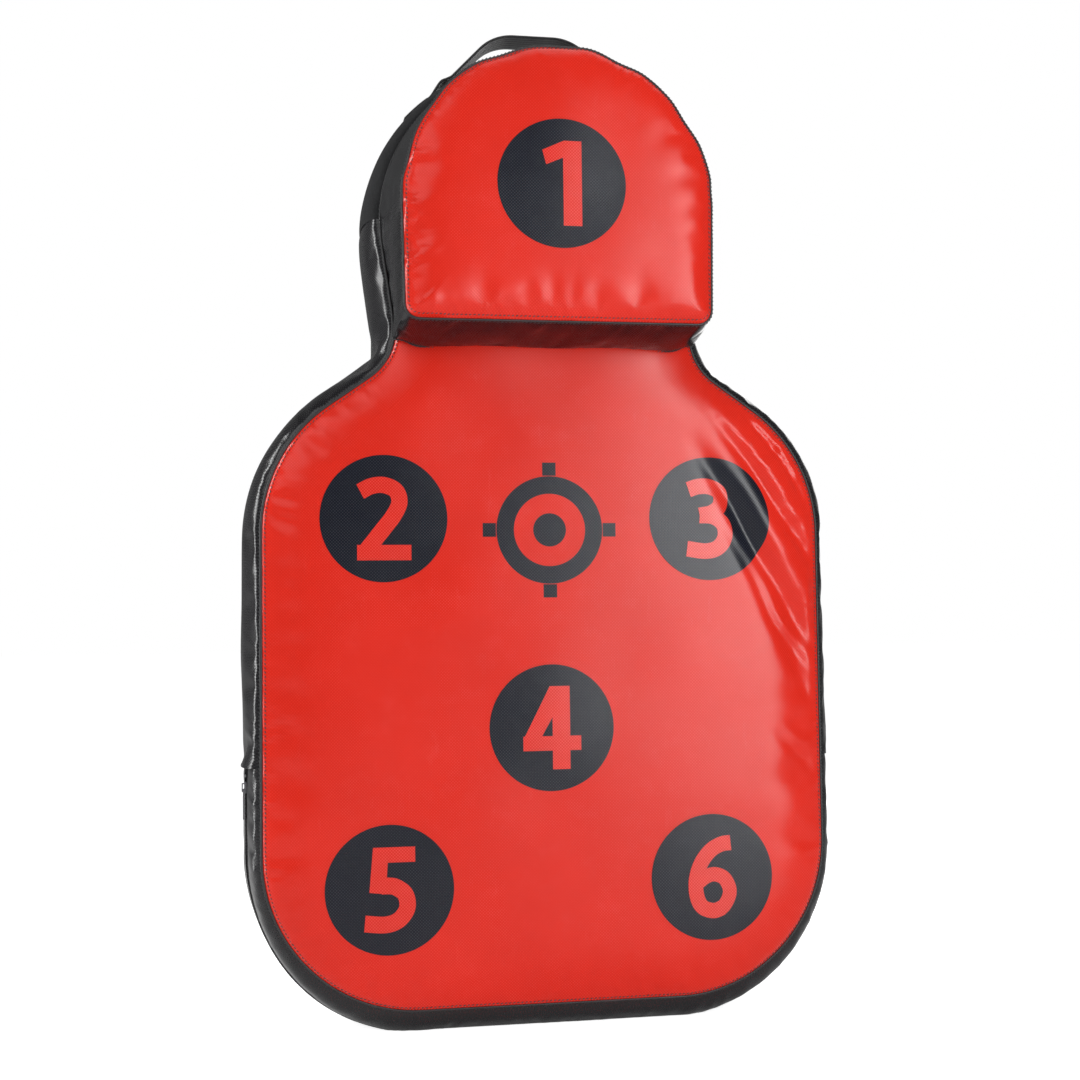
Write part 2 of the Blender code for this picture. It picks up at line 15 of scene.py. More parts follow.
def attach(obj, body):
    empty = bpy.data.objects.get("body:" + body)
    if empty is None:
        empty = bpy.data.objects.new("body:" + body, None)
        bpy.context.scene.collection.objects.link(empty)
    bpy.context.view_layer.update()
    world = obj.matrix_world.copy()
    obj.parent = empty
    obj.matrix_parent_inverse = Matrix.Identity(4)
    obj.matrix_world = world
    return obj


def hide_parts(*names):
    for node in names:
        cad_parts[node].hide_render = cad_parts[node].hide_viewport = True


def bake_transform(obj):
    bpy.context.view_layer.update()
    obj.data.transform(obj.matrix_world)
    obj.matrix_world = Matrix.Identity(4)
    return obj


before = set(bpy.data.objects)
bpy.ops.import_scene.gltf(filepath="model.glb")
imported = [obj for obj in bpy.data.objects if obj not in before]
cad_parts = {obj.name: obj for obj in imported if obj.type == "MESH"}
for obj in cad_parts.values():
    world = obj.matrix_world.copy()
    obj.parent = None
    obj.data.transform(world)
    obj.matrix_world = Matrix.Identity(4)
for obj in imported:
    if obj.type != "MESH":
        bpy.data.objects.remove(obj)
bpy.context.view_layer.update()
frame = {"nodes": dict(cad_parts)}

# Driving dimensions of the torso, as in the CAD
BACK = 0.075
CROWN = 0.010
WALL_HALF = 0.0627
HALF_WIDTH = 0.290
BOTTOM_SEAM = 0.024
TORSO_CORNERS = (
    (0.0, BOTTOM_SEAM, 0.0),
    (HALF_WIDTH, BOTTOM_SEAM, 0.157),
    (0.290, 0.584, 0.157),
    (0.150, 0.682, 0.061),
)
ARCH_HEIGHT = 0.820
ARCH_RADIUS = 0.168
GUSSET_JOINT = 0.266
SIDE_SWELL = 0.017
BOTTOM_SWELL = 0.032
SWELL_POWER = 2.3
ZIP_LINE = -0.029
ZIP_HALF_SLOT = 0.0115

# Head block
HEAD_FACE = -0.165
HEAD_WALL = (-0.1527, -0.0756)
HEAD_FRONT = ((0.0, 0.705, 0.0), (0.153, 0.705, 0.014), 0.155, 0.825)
HEAD_REAR = ((0.0, 0.692, 0.0), (0.157, 0.692, 0.030), 0.160, 0.824)
HEAD_SIDE_SWELL = 0.008
HEAD_BOTTOM_SWELL = 0.002

# Straps and their sewn ends
WEB = 0.0024
FOREARM_WEB = 0.003
TAB_RISE = 0.0033
TOP_HINGE = (0.0885, 0.9925)
GRIP_PLACES = (("left", -0.105), ("right", 0.105))
FOREARM_PLACES = (("left", -0.205), ("right", 0.205))
GRIP_HEIGHT = 0.500
FOREARM_HEIGHT = 0.440

# Printed targets: name, centre x, centre z
DISC_RADIUS = 0.064
TARGETS = (
    ("2", -0.169, 0.5156),
    ("3", 0.169, 0.5156),
    ("4", 0.0, 0.303),
    ("5", -0.1655, 0.1467),
    ("6", 0.1655, 0.1467),
)

# Slack folds of the front cover: start x, z, end x, z, half width, depth
FOLDS = (
    (0.150, 0.610, 0.282, 0.372, 0.0105, 0.0062),
    (0.166, 0.640, 0.286, 0.470, 0.0060, 0.0036),
    (0.196, 0.650, 0.284, 0.535, 0.0050, 0.0030),
    (0.176, 0.532, 0.284, 0.318, 0.0060, 0.0020),
    (0.224, 0.430, 0.284, 0.345, 0.0050, 0.0018),
    (0.232, 0.300, 0.285, 0.250, 0.0060, 0.0014),
)

SPACING = 0.0070
EDGE_RINGS = (0.0, 0.0016, 0.0040, 0.0075, 0.0115, 0.0160, 0.0215, 0.0275)


# Outlines: closed lines of (x, z) that run from the bottom centre to the right and round

def rounded_line(corners):
    """Points along straight runs whose inner corners (x, z, radius) are rounded."""
    points = [Vector(corner[:2]) for corner in corners]
    line = [points[0]]
    for before, corner, after in zip(points, corners[1:-1], points[2:]):
        here = Vector(corner[:2])
        into, out = (here - before).normalized(), (after - here).normalized()
        turn = math.atan2(into.x * out.y - into.y * out.x, into.dot(out))
        start = here - into * corner[2] * math.tan(abs(turn) / 2)
        arm = Vector((into.y, -into.x)) * math.copysign(corner[2], turn)
        centre = start - arm
        steps = max(2, int(abs(turn) * corner[2] / 0.002))
        for step in range(steps + 1):
            c, s = math.cos(turn * step / steps), math.sin(turn * step / steps)
            line.append(centre + Vector((arm.x * c - arm.y * s, arm.x * s + arm.y * c)))
    line.append(points[-1])
    return line


def arched_outline(corners, radius, height, spacing, count=None):
    """Even points and outward normals round an outline that ends in a round arch."""
    corner = Vector(corners[-1][:2]) - Vector((0.0, height))
    heading = math.pi / 2 + math.atan2(corner.y, corner.x) + math.acos(radius / corner.length)
    tangent = (radius * math.sin(heading), height - radius * math.cos(heading), 0.0)
    half = [tuple(point) for point in rounded_line([*corners, tangent])]
    steps = int((math.pi - heading) * radius / 0.002)
    for step in range(1, steps + 1):
        turned = heading + (math.pi - heading) * step / steps
        half.append((radius * math.sin(turned), height - radius * math.cos(turned)))
    line = np.array(half + [(-x, z) for x, z in reversed(half[1:-1])] + half[:1])
    along = np.r_[0.0, np.cumsum(np.hypot(*np.diff(line, axis=0).T))]
    count = count or int(round(along[-1] / spacing / 4) * 4)
    at = np.linspace(0.0, along[-1], count, endpoint=False)
    points = np.column_stack([np.interp(at, along, line[:, k]) for k in (0, 1)])
    heading = np.roll(points, -2, 0) - np.roll(points, 2, 0)
    normals = np.column_stack([heading[:, 1], -heading[:, 0]])
    normals /= np.linalg.norm(normals, axis=1)[:, None]
    return {"points": points, "normals": normals, "along": at, "length": along[-1]}


def place_at_height(outline, height):
    """The first station on the right half of an outline at or above a height."""
    return int(np.argmax(outline["points"][:, 1] >= height))


def nearest(outline, points):
    """Distance inside the outline and the length along it, for each (x, z)."""
    distance, along = np.empty(len(points)), np.empty(len(points))
    for start in range(0, len(points), 4000):
        part = points[start:start + 4000]
        away = part[:, None, :] - outline["points"][None, :, :]
        k = np.argmin((away ** 2).sum(2), axis=1)
        offset = part - outline["points"][k]
        distance[start:start + 4000] = -(offset * outline["normals"][k]).sum(1)
        along[start:start + 4000] = outline["along"][k]
    return distance, along


# Smooth random values, the same each run

def wave_noise(values, wavelength, seed):
    """Smooth random numbers from -1 to 1 along a line."""
    table = np.random.default_rng(seed).uniform(-1.0, 1.0, 4096)
    at = np.asarray(values) / wavelength
    k = np.floor(at).astype(int)
    part = at - k
    part = part * part * (3.0 - 2.0 * part)
    return table[k % 4096] * (1.0 - part) + table[(k + 1) % 4096] * part


def plane_noise(u, v, wavelength, seed):
    """Smooth random numbers from -1 to 1 over a plane."""
    table = np.random.default_rng(seed).uniform(-1.0, 1.0, (256, 256))
    a, b = np.asarray(u) / wavelength, np.asarray(v) / wavelength
    i, j = np.floor(a).astype(int), np.floor(b).astype(int)
    p, q = a - i, b - j
    p, q = p * p * (3.0 - 2.0 * p), q * q * (3.0 - 2.0 * q)
    rows = [
        table[i % 256, (j + n) % 256] * (1.0 - p) + table[(i + 1) % 256, (j + n) % 256] * p
        for n in (0, 1)
    ]
    return rows[0] * (1.0 - q) + rows[1] * q


def smooth_step(value, low, high):
    part = np.clip((value - low) / (high - low), 0.0, 1.0)
    return part * part * (3.0 - 2.0 * part)


# Flat fills

def inside_loops(points, loops):
    """Even-odd test of (x, z) points against closed loops."""
    inside = np.zeros(len(points), bool)
    for loop in loops:
        for (x0, z0), (x1, z1) in zip(loop, np.roll(loop, -1, 0)):
            crosses = (z0 > points[:, 1]) != (z1 > points[:, 1])
            if crosses.any():
                x = x0 + (points[:, 1] - z0) / (z1 - z0 if z1 != z0 else 1.0) * (x1 - x0)
                inside ^= crosses & (points[:, 0] < x)
    return inside


def triangulated(points, edges):
    """Counter-clockwise Delaunay triangles of points, with edges that must appear."""
    found = geometry.delaunay_2d_cdt([Vector(p) for p in points], edges, [], 0, 1e-7)
    made, triangles = np.array(found[0]), np.array(found[2])
    a, b, c = (made[triangles[:, k]] for k in range(3))
    area = (b[:, 0] - a[:, 0]) * (c[:, 1] - a[:, 1]) - (b[:, 1] - a[:, 1]) * (c[:, 0] - a[:, 0])
    triangles[area < 0] = triangles[area < 0][:, ::-1]
    return made, triangles


def filled(loops, spacing, overlap=False):
    """Points and triangles over the inside of closed loops, which may overlap or make holes."""
    def inside(places):
        if overlap:
            return np.any([inside_loops(places, [loop]) for loop in loops], axis=0)
        return inside_loops(places, loops)

    points, edges = [], []
    for loop in loops:
        first = len(points)
        points += [tuple(p) for p in loop]
        edges += [(first + k, first + (k + 1) % len(loop)) for k in range(len(loop))]
    low, high = np.min(points, 0), np.max(points, 0)
    grid = np.array([
        (x, z)
        for z in np.arange(low[1] + spacing / 2, high[1], spacing)
        for x in np.arange(low[0] + spacing / 2, high[0], spacing)
    ])
    grid = grid[inside(grid)]
    border = np.array(points)
    gap = np.sqrt(((grid[:, None, :] - border[None, :, :]) ** 2).sum(2)).min(1)
    made, triangles = triangulated(points + [tuple(p) for p in grid[gap > spacing * 0.45]], edges)
    return made, triangles[inside(made[triangles].mean(1))]


def panel_fill(outline, rings, spacing):
    """Points and faces inside an outline: rings next to the seam and an even grid within."""
    line, normals = outline["points"], outline["normals"]
    count = len(line)
    loops = [line - normals * inset for inset in rings]
    points = np.vstack(loops)
    faces = []
    for ring in range(len(rings) - 1):
        first, second = ring * count, (ring + 1) * count
        for k in range(count):
            j = (k + 1) % count
            faces.append((first + k, first + j, second + j, second + k))
    low, high = line.min(0), line.max(0)
    columns = int((high[0] - low[0]) / spacing) + 2
    rows = int((high[1] - low[1]) / spacing) + 2
    start = (-(columns - 1) / 2 * spacing, low[1])
    grid = np.array([
        (start[0] + i * spacing, start[1] + j * spacing) for j in range(rows) for i in range(columns)
    ])
    keep = (nearest(outline, grid)[0] > rings[-1] + spacing * 0.7).reshape(rows, columns)
    cells = keep[:-1, :-1] & keep[1:, :-1] & keep[:-1, 1:] & keep[1:, 1:]
    used = np.zeros_like(keep)
    for dj in (0, 1):
        for di in (0, 1):
            used[dj:rows - 1 + dj, di:columns - 1 + di] |= cells
    index = np.full(rows * columns, -1)
    index[used.ravel()] = np.arange(used.sum()) + len(points)
    index = index.reshape(rows, columns)
    uses = {}
    for j, i in zip(*np.nonzero(cells)):
        quad = (index[j, i], index[j, i + 1], index[j + 1, i + 1], index[j + 1, i])
        faces.append(tuple(int(n) for n in quad))
        for a, b in zip(quad, quad[1:] + quad[:1]):
            uses[frozenset((int(a), int(b)))] = uses.get(frozenset((int(a), int(b))), 0) + 1
    rim = [tuple(edge) for edge, times in uses.items() if times == 1]
    points = np.vstack([points, grid[used.ravel()]])
    first = (len(rings) - 1) * count
    border = list(range(first, first + count)) + sorted({n for edge in rim for n in edge})
    local = {n: k for k, n in enumerate(border)}
    edges = [(k, (k + 1) % count) for k in range(count)] + [(local[a], local[b]) for a, b in rim]
    made, triangles = triangulated([tuple(points[n]) for n in border], edges)
    middle = made[triangles].mean(1)
    cell = np.floor((middle - start) / spacing).astype(int)
    in_cell = cells[np.clip(cell[:, 1], 0, rows - 2), np.clip(cell[:, 0], 0, columns - 2)]
    wanted = inside_loops(middle, [loops[-1]]) & ~in_cell
    faces += [tuple(border[n] for n in triangle) for triangle in triangles[wanted]]
    return points, faces


# Meshes

def new_object(name, points, faces, fabric):
    """A mesh object whose points carry their place on the fabric, in metres."""
    mesh = bpy.data.meshes.new(name)
    mesh.from_pydata(np.asarray(points).tolist(), [], [tuple(int(n) for n in f) for f in faces])
    layer = mesh.attributes.new("fabric", "FLOAT_VECTOR", "POINT")
    layer.data.foreach_set("vector", np.asarray(fabric, np.float32).ravel())
    made = bpy.data.objects.new(name, mesh)
    bpy.context.scene.collection.objects.link(made)
    return made


def coordinates(mesh):
    found = np.zeros(len(mesh.vertices) * 3)
    mesh.vertices.foreach_get("co", found)
    return found.reshape(-1, 3)


def move_to(mesh, points):
    mesh.vertices.foreach_set("co", np.asarray(points, np.float32).ravel())
    mesh.update()


def vertex_normals(mesh):
    found = np.zeros(len(mesh.vertices) * 3)
    mesh.vertex_normals.foreach_get("vector", found)
    return found.reshape(-1, 3)


def fabric_place(mesh):
    found = np.zeros(len(mesh.vertices) * 3, np.float32)
    mesh.attributes["fabric"].data.foreach_get("vector", found)
    return found.reshape(-1, 3).astype(float)


def apply_modifiers(made):
    """Replace an object's mesh with what its modifiers make of it."""
    graph = bpy.context.evaluated_depsgraph_get()
    shaped = made.evaluated_get(graph)
    mesh = bpy.data.meshes.new_from_object(shaped, preserve_all_data_layers=True, depsgraph=graph)
    made.modifiers.clear()
    made.data = mesh


def settle(made, held, slack, pressure, cap, soft=0.0, bending=2.0):
    """Let a cover puff up and crease as cloth between its seams; held marks the sewn points."""
    rest = coordinates(made.data)
    group = made.vertex_groups.new(name="hold")
    group.add([int(k) for k in np.nonzero(held)[0]], 1.0, "REPLACE")
    if soft:
        group.add([int(k) for k in np.nonzero(~held)[0]], soft, "REPLACE")
    cloth = made.modifiers.new("cloth", "CLOTH")
    rules = cloth.settings
    rules.quality = 5
    rules.vertex_group_mass = "hold"
    rules.use_pressure = True
    rules.uniform_pressure_force = pressure
    rules.effector_weights.gravity = 0.0
    rules.shrink_min = -slack
    rules.bending_stiffness = bending
    rules.air_damping = 3.0
    cloth.point_cache.frame_start = 1
    cloth.point_cache.frame_end = 20
    for number in range(1, 21):
        bpy.context.scene.frame_set(number)
    graph = bpy.context.evaluated_depsgraph_get()
    shaped = made.evaluated_get(graph)
    moved = coordinates(shaped.data) - rest
    made.modifiers.clear()
    made.vertex_groups.clear()
    bpy.context.scene.frame_set(1)
    reach = np.linalg.norm(moved, axis=1)
    moved *= (cap * np.tanh(reach / cap) / np.maximum(reach, 1e-9))[:, None]
    move_to(made.data, rest + moved)


def refine(made):
    """One subdivision, so that folds and seams have room."""
    division = made.modifiers.new("division", "SUBSURF")
    division.levels = division.render_levels = 1
    division.boundary_smooth = "PRESERVE_CORNERS"
    apply_modifiers(made)


def close_sheet(made, thickness):
    """Give an open sheet its thickness, inwards, and smooth shading."""
    solid = made.modifiers.new("thickness", "SOLIDIFY")
    solid.thickness = thickness
    solid.offset = -1.0
    solid.use_even_offset = False
    apply_modifiers(made)
    made.data.shade_smooth()
    made.data.set_sharp_from_angle(angle=math.radians(50))


def dress(made, body, look, slot, *nodes):
    """Give a piece its body and its material, and hide the CAD nodes that it stands for; slot is not used."""
    made.data.materials.clear()
    made.data.materials.append(look)
    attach(made, body)
    if nodes:
        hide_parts(*nodes)
    return made


# Seam shapes that the panel and the wall on each side of a seam share

def puckers(along, distance, seed, reach=0.020, height=0.0007, wavelength=0.013):
    """How far a cover stands out near a seam, gathered between the stitches."""
    shifted = along + 0.35 * distance
    wave = 1.0 - 2.0 * np.abs(wave_noise(shifted, wavelength, seed))
    patchy = 0.45 + 0.55 * smooth_step(wave_noise(along, 0.11, seed + 1), -0.6, 0.7)
    fade = np.exp(-distance / reach) * smooth_step(distance, 0.0, 0.005)
    return height * wave * patchy * fade


def fold_depth(x, z):
    """The slack folds of the front cover, as a height along the outward direction."""
    total = np.zeros(len(x))
    for x0, z0, x1, z1, half, depth in FOLDS:
        run = np.array((x1 - x0, z1 - z0))
        length = np.linalg.norm(run)
        run /= length
        u = (x - x0) * run[0] + (z - z0) * run[1]
        v = (x - x0) * -run[1] + (z - z0) * run[0]
        v = v + 0.22 * (u - 0.5 * length) ** 2 + 0.0012 * np.sin(u * 55.0)
        ends = smooth_step(u, -0.02 * length, 0.50 * length) * smooth_step(-u, -1.05 * length, -0.86 * length)
        wide = half * (0.75 + 0.6 * u / length)
        valley = -np.exp(-np.abs(v / wide) ** 2.0)
        ridge = 0.62 * np.exp(-(((v - 2.1 * wide) / (1.3 * wide)) ** 2))
        total += depth * ends * (valley + ridge)
    return total


# Materials

class Look:
    """A procedural Principled material, built from fabric coordinates or the object's own."""

    def __init__(self, name, roughness, specular=0.5, metallic=0.0, sheen=0.0, on_fabric=True):
        self.material = bpy.data.materials.new(name)
        self.material.use_nodes = True
        self.tree = self.material.node_tree
        self.shader = self.tree.nodes["Principled BSDF"]
        self.shader.inputs["Roughness"].default_value = roughness
        self.shader.inputs["Specular IOR Level"].default_value = specular
        self.shader.inputs["Metallic"].default_value = metallic
        self.shader.inputs["Sheen Weight"].default_value = sheen
        if on_fabric:
            place = self.tree.nodes.new("ShaderNodeAttribute")
            place.attribute_name = "fabric"
            self.place = place.outputs["Vector"]
        else:
            self.place = self.tree.nodes.new("ShaderNodeTexCoord").outputs["Object"]

    def math(self, operation, a, b=0.0, c=0.0):
        node = self.tree.nodes.new("ShaderNodeMath")
        node.operation = operation
        for socket, value in zip(node.inputs, (a, b, c)):
            if isinstance(value, (int, float)):
                socket.default_value = value
            else:
                self.tree.links.new(value, socket)
        return node.outputs[0]

    def noise(self, scale, detail=2.0, roughness=0.5, stretch=(1.0, 1.0, 1.0)):
        source = self.place
        if stretch != (1.0, 1.0, 1.0):
            mapping = self.tree.nodes.new("ShaderNodeMapping")
            mapping.inputs["Scale"].default_value = stretch
            self.tree.links.new(self.place, mapping.inputs["Vector"])
            source = mapping.outputs["Vector"]
        node = self.tree.nodes.new("ShaderNodeTexNoise")
        node.inputs["Scale"].default_value = scale
        node.inputs["Detail"].default_value = detail
        node.inputs["Roughness"].default_value = roughness
        self.tree.links.new(source, node.inputs["Vector"])
        return node.outputs["Fac"]

    def ramp(self, value, low, high, to_low=0.0, to_high=1.0):
        node = self.tree.nodes.new("ShaderNodeMapRange")
        for socket, number in zip(list(node.inputs)[1:5], (low, high, to_low, to_high)):
            socket.default_value = number
        self.tree.links.new(value, node.inputs["Value"])
        return node.outputs["Result"]

    def wave(self, axis_a, axis_b, pitch, tilt):
        """A sine across the fabric: its pitch in metres, turned by tilt."""
        split = self.tree.nodes.new("ShaderNodeSeparateXYZ")
        self.tree.links.new(self.place, split.inputs[0])
        turns = 2.0 * math.pi / pitch
        a = self.math("MULTIPLY", split.outputs[axis_a], turns * math.cos(tilt))
        b = self.math("MULTIPLY_ADD", split.outputs[axis_b], turns * math.sin(tilt), a)
        return self.math("SINE", b)

    def lattice(self, pitch, tilt, axes=("X", "Y")):
        """Crossed sines, which make the raised dots of a woven or embossed surface."""
        first = self.wave(*axes, pitch, tilt)
        second = self.wave(*axes, pitch, tilt + math.pi / 2)
        return self.ramp(self.math("MULTIPLY", first, second), -1.0, 1.0)

    def colours(self, value, dark, light):
        node = self.tree.nodes.new("ShaderNodeMix")
        node.data_type = "RGBA"
        node.inputs["A"].default_value = (*dark, 1.0)
        node.inputs["B"].default_value = (*light, 1.0)
        self.tree.links.new(value, node.inputs["Factor"])
        self.tree.links.new(node.outputs["Result"], self.shader.inputs["Base Color"])

    def roughened(self, value):
        self.tree.links.new(value, self.shader.inputs["Roughness"])

    def bumped(self, height, depth, strength=1.0):
        """Adds a bump of this depth in metres below any bump that the material has."""
        node = self.tree.nodes.new("ShaderNodeBump")
        node.inputs["Strength"].default_value = strength
        node.inputs["Distance"].default_value = depth
        self.tree.links.new(height, node.inputs["Height"])
        normal = self.shader.inputs["Normal"]
        if normal.is_linked:
            self.tree.links.new(normal.links[0].from_socket, node.inputs["Normal"])
        self.tree.links.new(node.outputs["Normal"], normal)


def scaled(colour, factor):
    return tuple(part * factor for part in colour)


def coated_fabric(name, colour, roughness, weave_depth, spread=0.06, specular=0.5, wear=0.5):
    """Vinyl-coated canvas: an embossed diagonal weave, cloudy colour, rubbed spots and scuffs."""
    look = Look(name, roughness, specular)
    cloud = look.noise(9.0, 3.0)
    grain = look.noise(900.0, 2.0)
    weave = look.lattice(0.0031, 0.0)
    tone = look.math("MULTIPLY_ADD", weave, 0.35, look.math("MULTIPLY", cloud, 0.65))
    look.colours(look.ramp(tone, 0.25, 0.75), scaled(colour, 1.0 - spread), scaled(colour, 1.0 + spread))
    rubbed = look.ramp(look.noise(26.0, 4.0, 0.65), 0.50, 0.72, 0.0, 0.10 * wear)
    scuffs = look.ramp(look.noise(70.0, 5.0, 0.7, (1.0, 0.22, 1.0)), 0.60, 0.75, 0.0, 0.12 * wear)
    value = look.math("ADD", look.math("ADD", rubbed, scuffs), roughness - 0.02)
    value = look.math("MULTIPLY_ADD", weave, 0.16, value)
    look.roughened(look.math("MULTIPLY_ADD", look.ramp(cloud, 0.3, 0.7), 0.03, value))
    look.bumped(weave, weave_depth, 0.9)
    look.bumped(grain, 0.00004, 0.5)
    return look.material


def woven_fabric(name, colour, light, pitch, depth, roughness=0.85, speckle=0.5, tilt=0.0, sheen=0.15):
    """Bare woven cloth with lighter threads here and there."""
    look = Look(name, roughness, 0.25, sheen=sheen)
    weave = look.lattice(pitch, tilt)
    speck = look.ramp(look.noise(1.0 / pitch, 2.0), 0.52, 0.74)
    tone = look.math("MULTIPLY", look.math("MULTIPLY", speck, weave), speckle)
    fade = look.ramp(look.noise(14.0, 3.0), 0.3, 0.8, 0.0, 0.10)
    look.colours(look.math("ADD", tone, fade), colour, light)
    look.bumped(weave, depth, 0.9)
    look.bumped(look.noise(1500.0, 2.0), 0.00006, 0.6)
    return look.material


def webbing_weave(name, colour, light, rib=0.0024, roughness=0.62):
    """Ribbed webbing: ribs along the strap, crossed by its picks, with a pale fuzz on top."""
    look = Look(name, roughness, 0.35, sheen=0.25)
    ribs = look.ramp(look.wave("X", "Y", rib, math.pi / 2), -1.0, 1.0)
    picks = look.ramp(look.wave("X", "Y", 0.0016, math.radians(16)), -1.0, 1.0)
    height = look.math("MULTIPLY_ADD", picks, 0.45, ribs)
    fuzz = look.ramp(look.noise(420.0, 3.0, 0.6), 0.45, 0.75)
    tone = look.math("MULTIPLY", look.ramp(height, 0.7, 1.5), look.math("MULTIPLY_ADD", fuzz, 0.7, 0.3))
    look.colours(tone, colour, light)
    look.roughened(look.ramp(fuzz, 0.0, 1.0, roughness - 0.08, roughness + 0.15))
    look.bumped(height, 0.00035, 1.0)
    look.bumped(look.noise(1800.0, 2.0), 0.00005, 0.5)
    return look.material


def thread(name, colour, light):
    look = Look(name, 0.55, 0.4, sheen=0.2)
    ply = look.ramp(look.wave("X", "Y", 0.0011, math.radians(35)), -1.0, 1.0)
    look.colours(look.math("MULTIPLY", ply, look.ramp(look.noise(160.0), 0.2, 0.8, 0.4, 1.0)), colour, light)
    look.bumped(ply, 0.0001, 0.8)
    return look.material


def printed_ink(name, colour, roughness, spread, weave_depth, specular=0.5):
    """Screen-printed ink that lets the cloth's weave through."""
    look = Look(name, roughness, specular)
    weave = look.lattice(0.0031, 0.0)
    cloud = look.noise(30.0, 3.0)
    tone = look.math("MULTIPLY_ADD", weave, 0.5, look.math("MULTIPLY", cloud, 0.5))
    look.colours(look.ramp(tone, 0.25, 0.75), scaled(colour, 1.0 - spread), scaled(colour, 1.0 + spread))
    worn = look.ramp(look.noise(45.0, 4.0, 0.6), 0.35, 0.75, roughness, roughness + 0.03)
    look.roughened(look.math("MULTIPLY_ADD", weave, 0.16, worn))
    look.bumped(weave, weave_depth, 0.9)
    return look.material


def metal(name, colour, roughness, on_fabric=False):
    look = Look(name, roughness, metallic=1.0, on_fabric=on_fabric)
    brushed = look.noise(900.0, 3.0, 0.6, (1.0, 1.0, 0.12))
    look.colours(look.ramp(brushed, 0.3, 0.7), scaled(colour, 0.75), scaled(colour, 1.1))
    look.roughened(look.ramp(look.noise(300.0, 4.0), 0.3, 0.75, roughness - 0.08, roughness + 0.2))
    look.bumped(brushed, 0.00003, 0.5)
    return look.material


def pile(name, colour, light, scale, depth):
    """Hook or loop tape: a dense fuzzy surface."""
    look = Look(name, 0.95, 0.2, sheen=0.35)
    fuzz = look.noise(scale, 4.0, 0.7)
    look.colours(look.ramp(fuzz, 0.35, 0.7), colour, light)
    look.bumped(fuzz, depth, 1.0)
    return look.material


RED = (0.72, 0.022, 0.010)
BLACK = (0.0065, 0.0062, 0.0078)
INK = (0.0075, 0.0092, 0.0170)
LOOKS = {
    "red": coated_fabric("red_vinyl", RED, 0.15, 0.00009, 0.07, 0.3),
    "gloss_black": coated_fabric("black_vinyl", BLACK, 0.17, 0.00004, 0.25, 0.5),
    "woven_black": woven_fabric(
        "black_woven_cloth", (0.006, 0.006, 0.0065), (0.060, 0.062, 0.070), 0.0015, 0.00022, sheen=0.03
    ),
    "webbing": webbing_weave("black_webbing", (0.008, 0.008, 0.009), (0.085, 0.085, 0.090)),
    "pale_thread": thread("grey_thread", (0.16, 0.165, 0.175), (0.50, 0.51, 0.53)),
    "dark_thread": thread("black_thread", (0.010, 0.010, 0.011), (0.07, 0.07, 0.075)),
    "ink": printed_ink("dark_ink", INK, 0.16, 0.14, 0.00009, 0.36),
    "red_ink": printed_ink("red_print", RED, 0.17, 0.07, 0.00009),
    "zip_tape": woven_fabric("zip_tape_cloth", (0.010, 0.010, 0.011), (0.05, 0.05, 0.053), 0.0009, 0.00012),
    "zip_teeth": coated_fabric("zip_nylon_coil", (0.014, 0.014, 0.015), 0.38, 0.00002, 0.2),
    "metal": metal("blackened_steel", (0.30, 0.30, 0.32), 0.34),
    "hook": pile("hook_tape", (0.010, 0.010, 0.011), (0.05, 0.05, 0.052), 1400.0, 0.0005),
    "loop": pile("loop_tape", (0.014, 0.014, 0.015), (0.075, 0.075, 0.078), 800.0, 0.0007),
}


# Covers of the torso

TORSO = arched_outline(TORSO_CORNERS, ARCH_RADIUS, ARCH_HEIGHT, 0.0048)
PATCHES = [(x, GRIP_HEIGHT, 0.030, 0.149) for _, x in GRIP_PLACES]
PATCHES += [(x, FOREARM_HEIGHT, 0.0375, 0.130) for _, x in FOREARM_PLACES]


def patch_distance(x, z):
    """Distance from the nearest reinforcement patch of the back, 0 over one."""
    found = np.full(len(x), 1.0)
    for px, pz, half_width, half_height in PATCHES:
        across = np.maximum(np.abs(x - px) - half_width, 0.0)
        up = np.maximum(np.abs(z - pz) - half_height, 0.0)
        found = np.minimum(found, np.hypot(across, up))
    return found


def crowned(distance):
    """Depth of a panel's face below its plane, near its seam."""
    edge = CROWN * np.clip(1.0 - distance / 0.030, 0.0, 1.0) ** 4.2
    roll = 0.0013 * (1.0 - smooth_step(distance, 0.0, 0.0035))
    return edge + roll


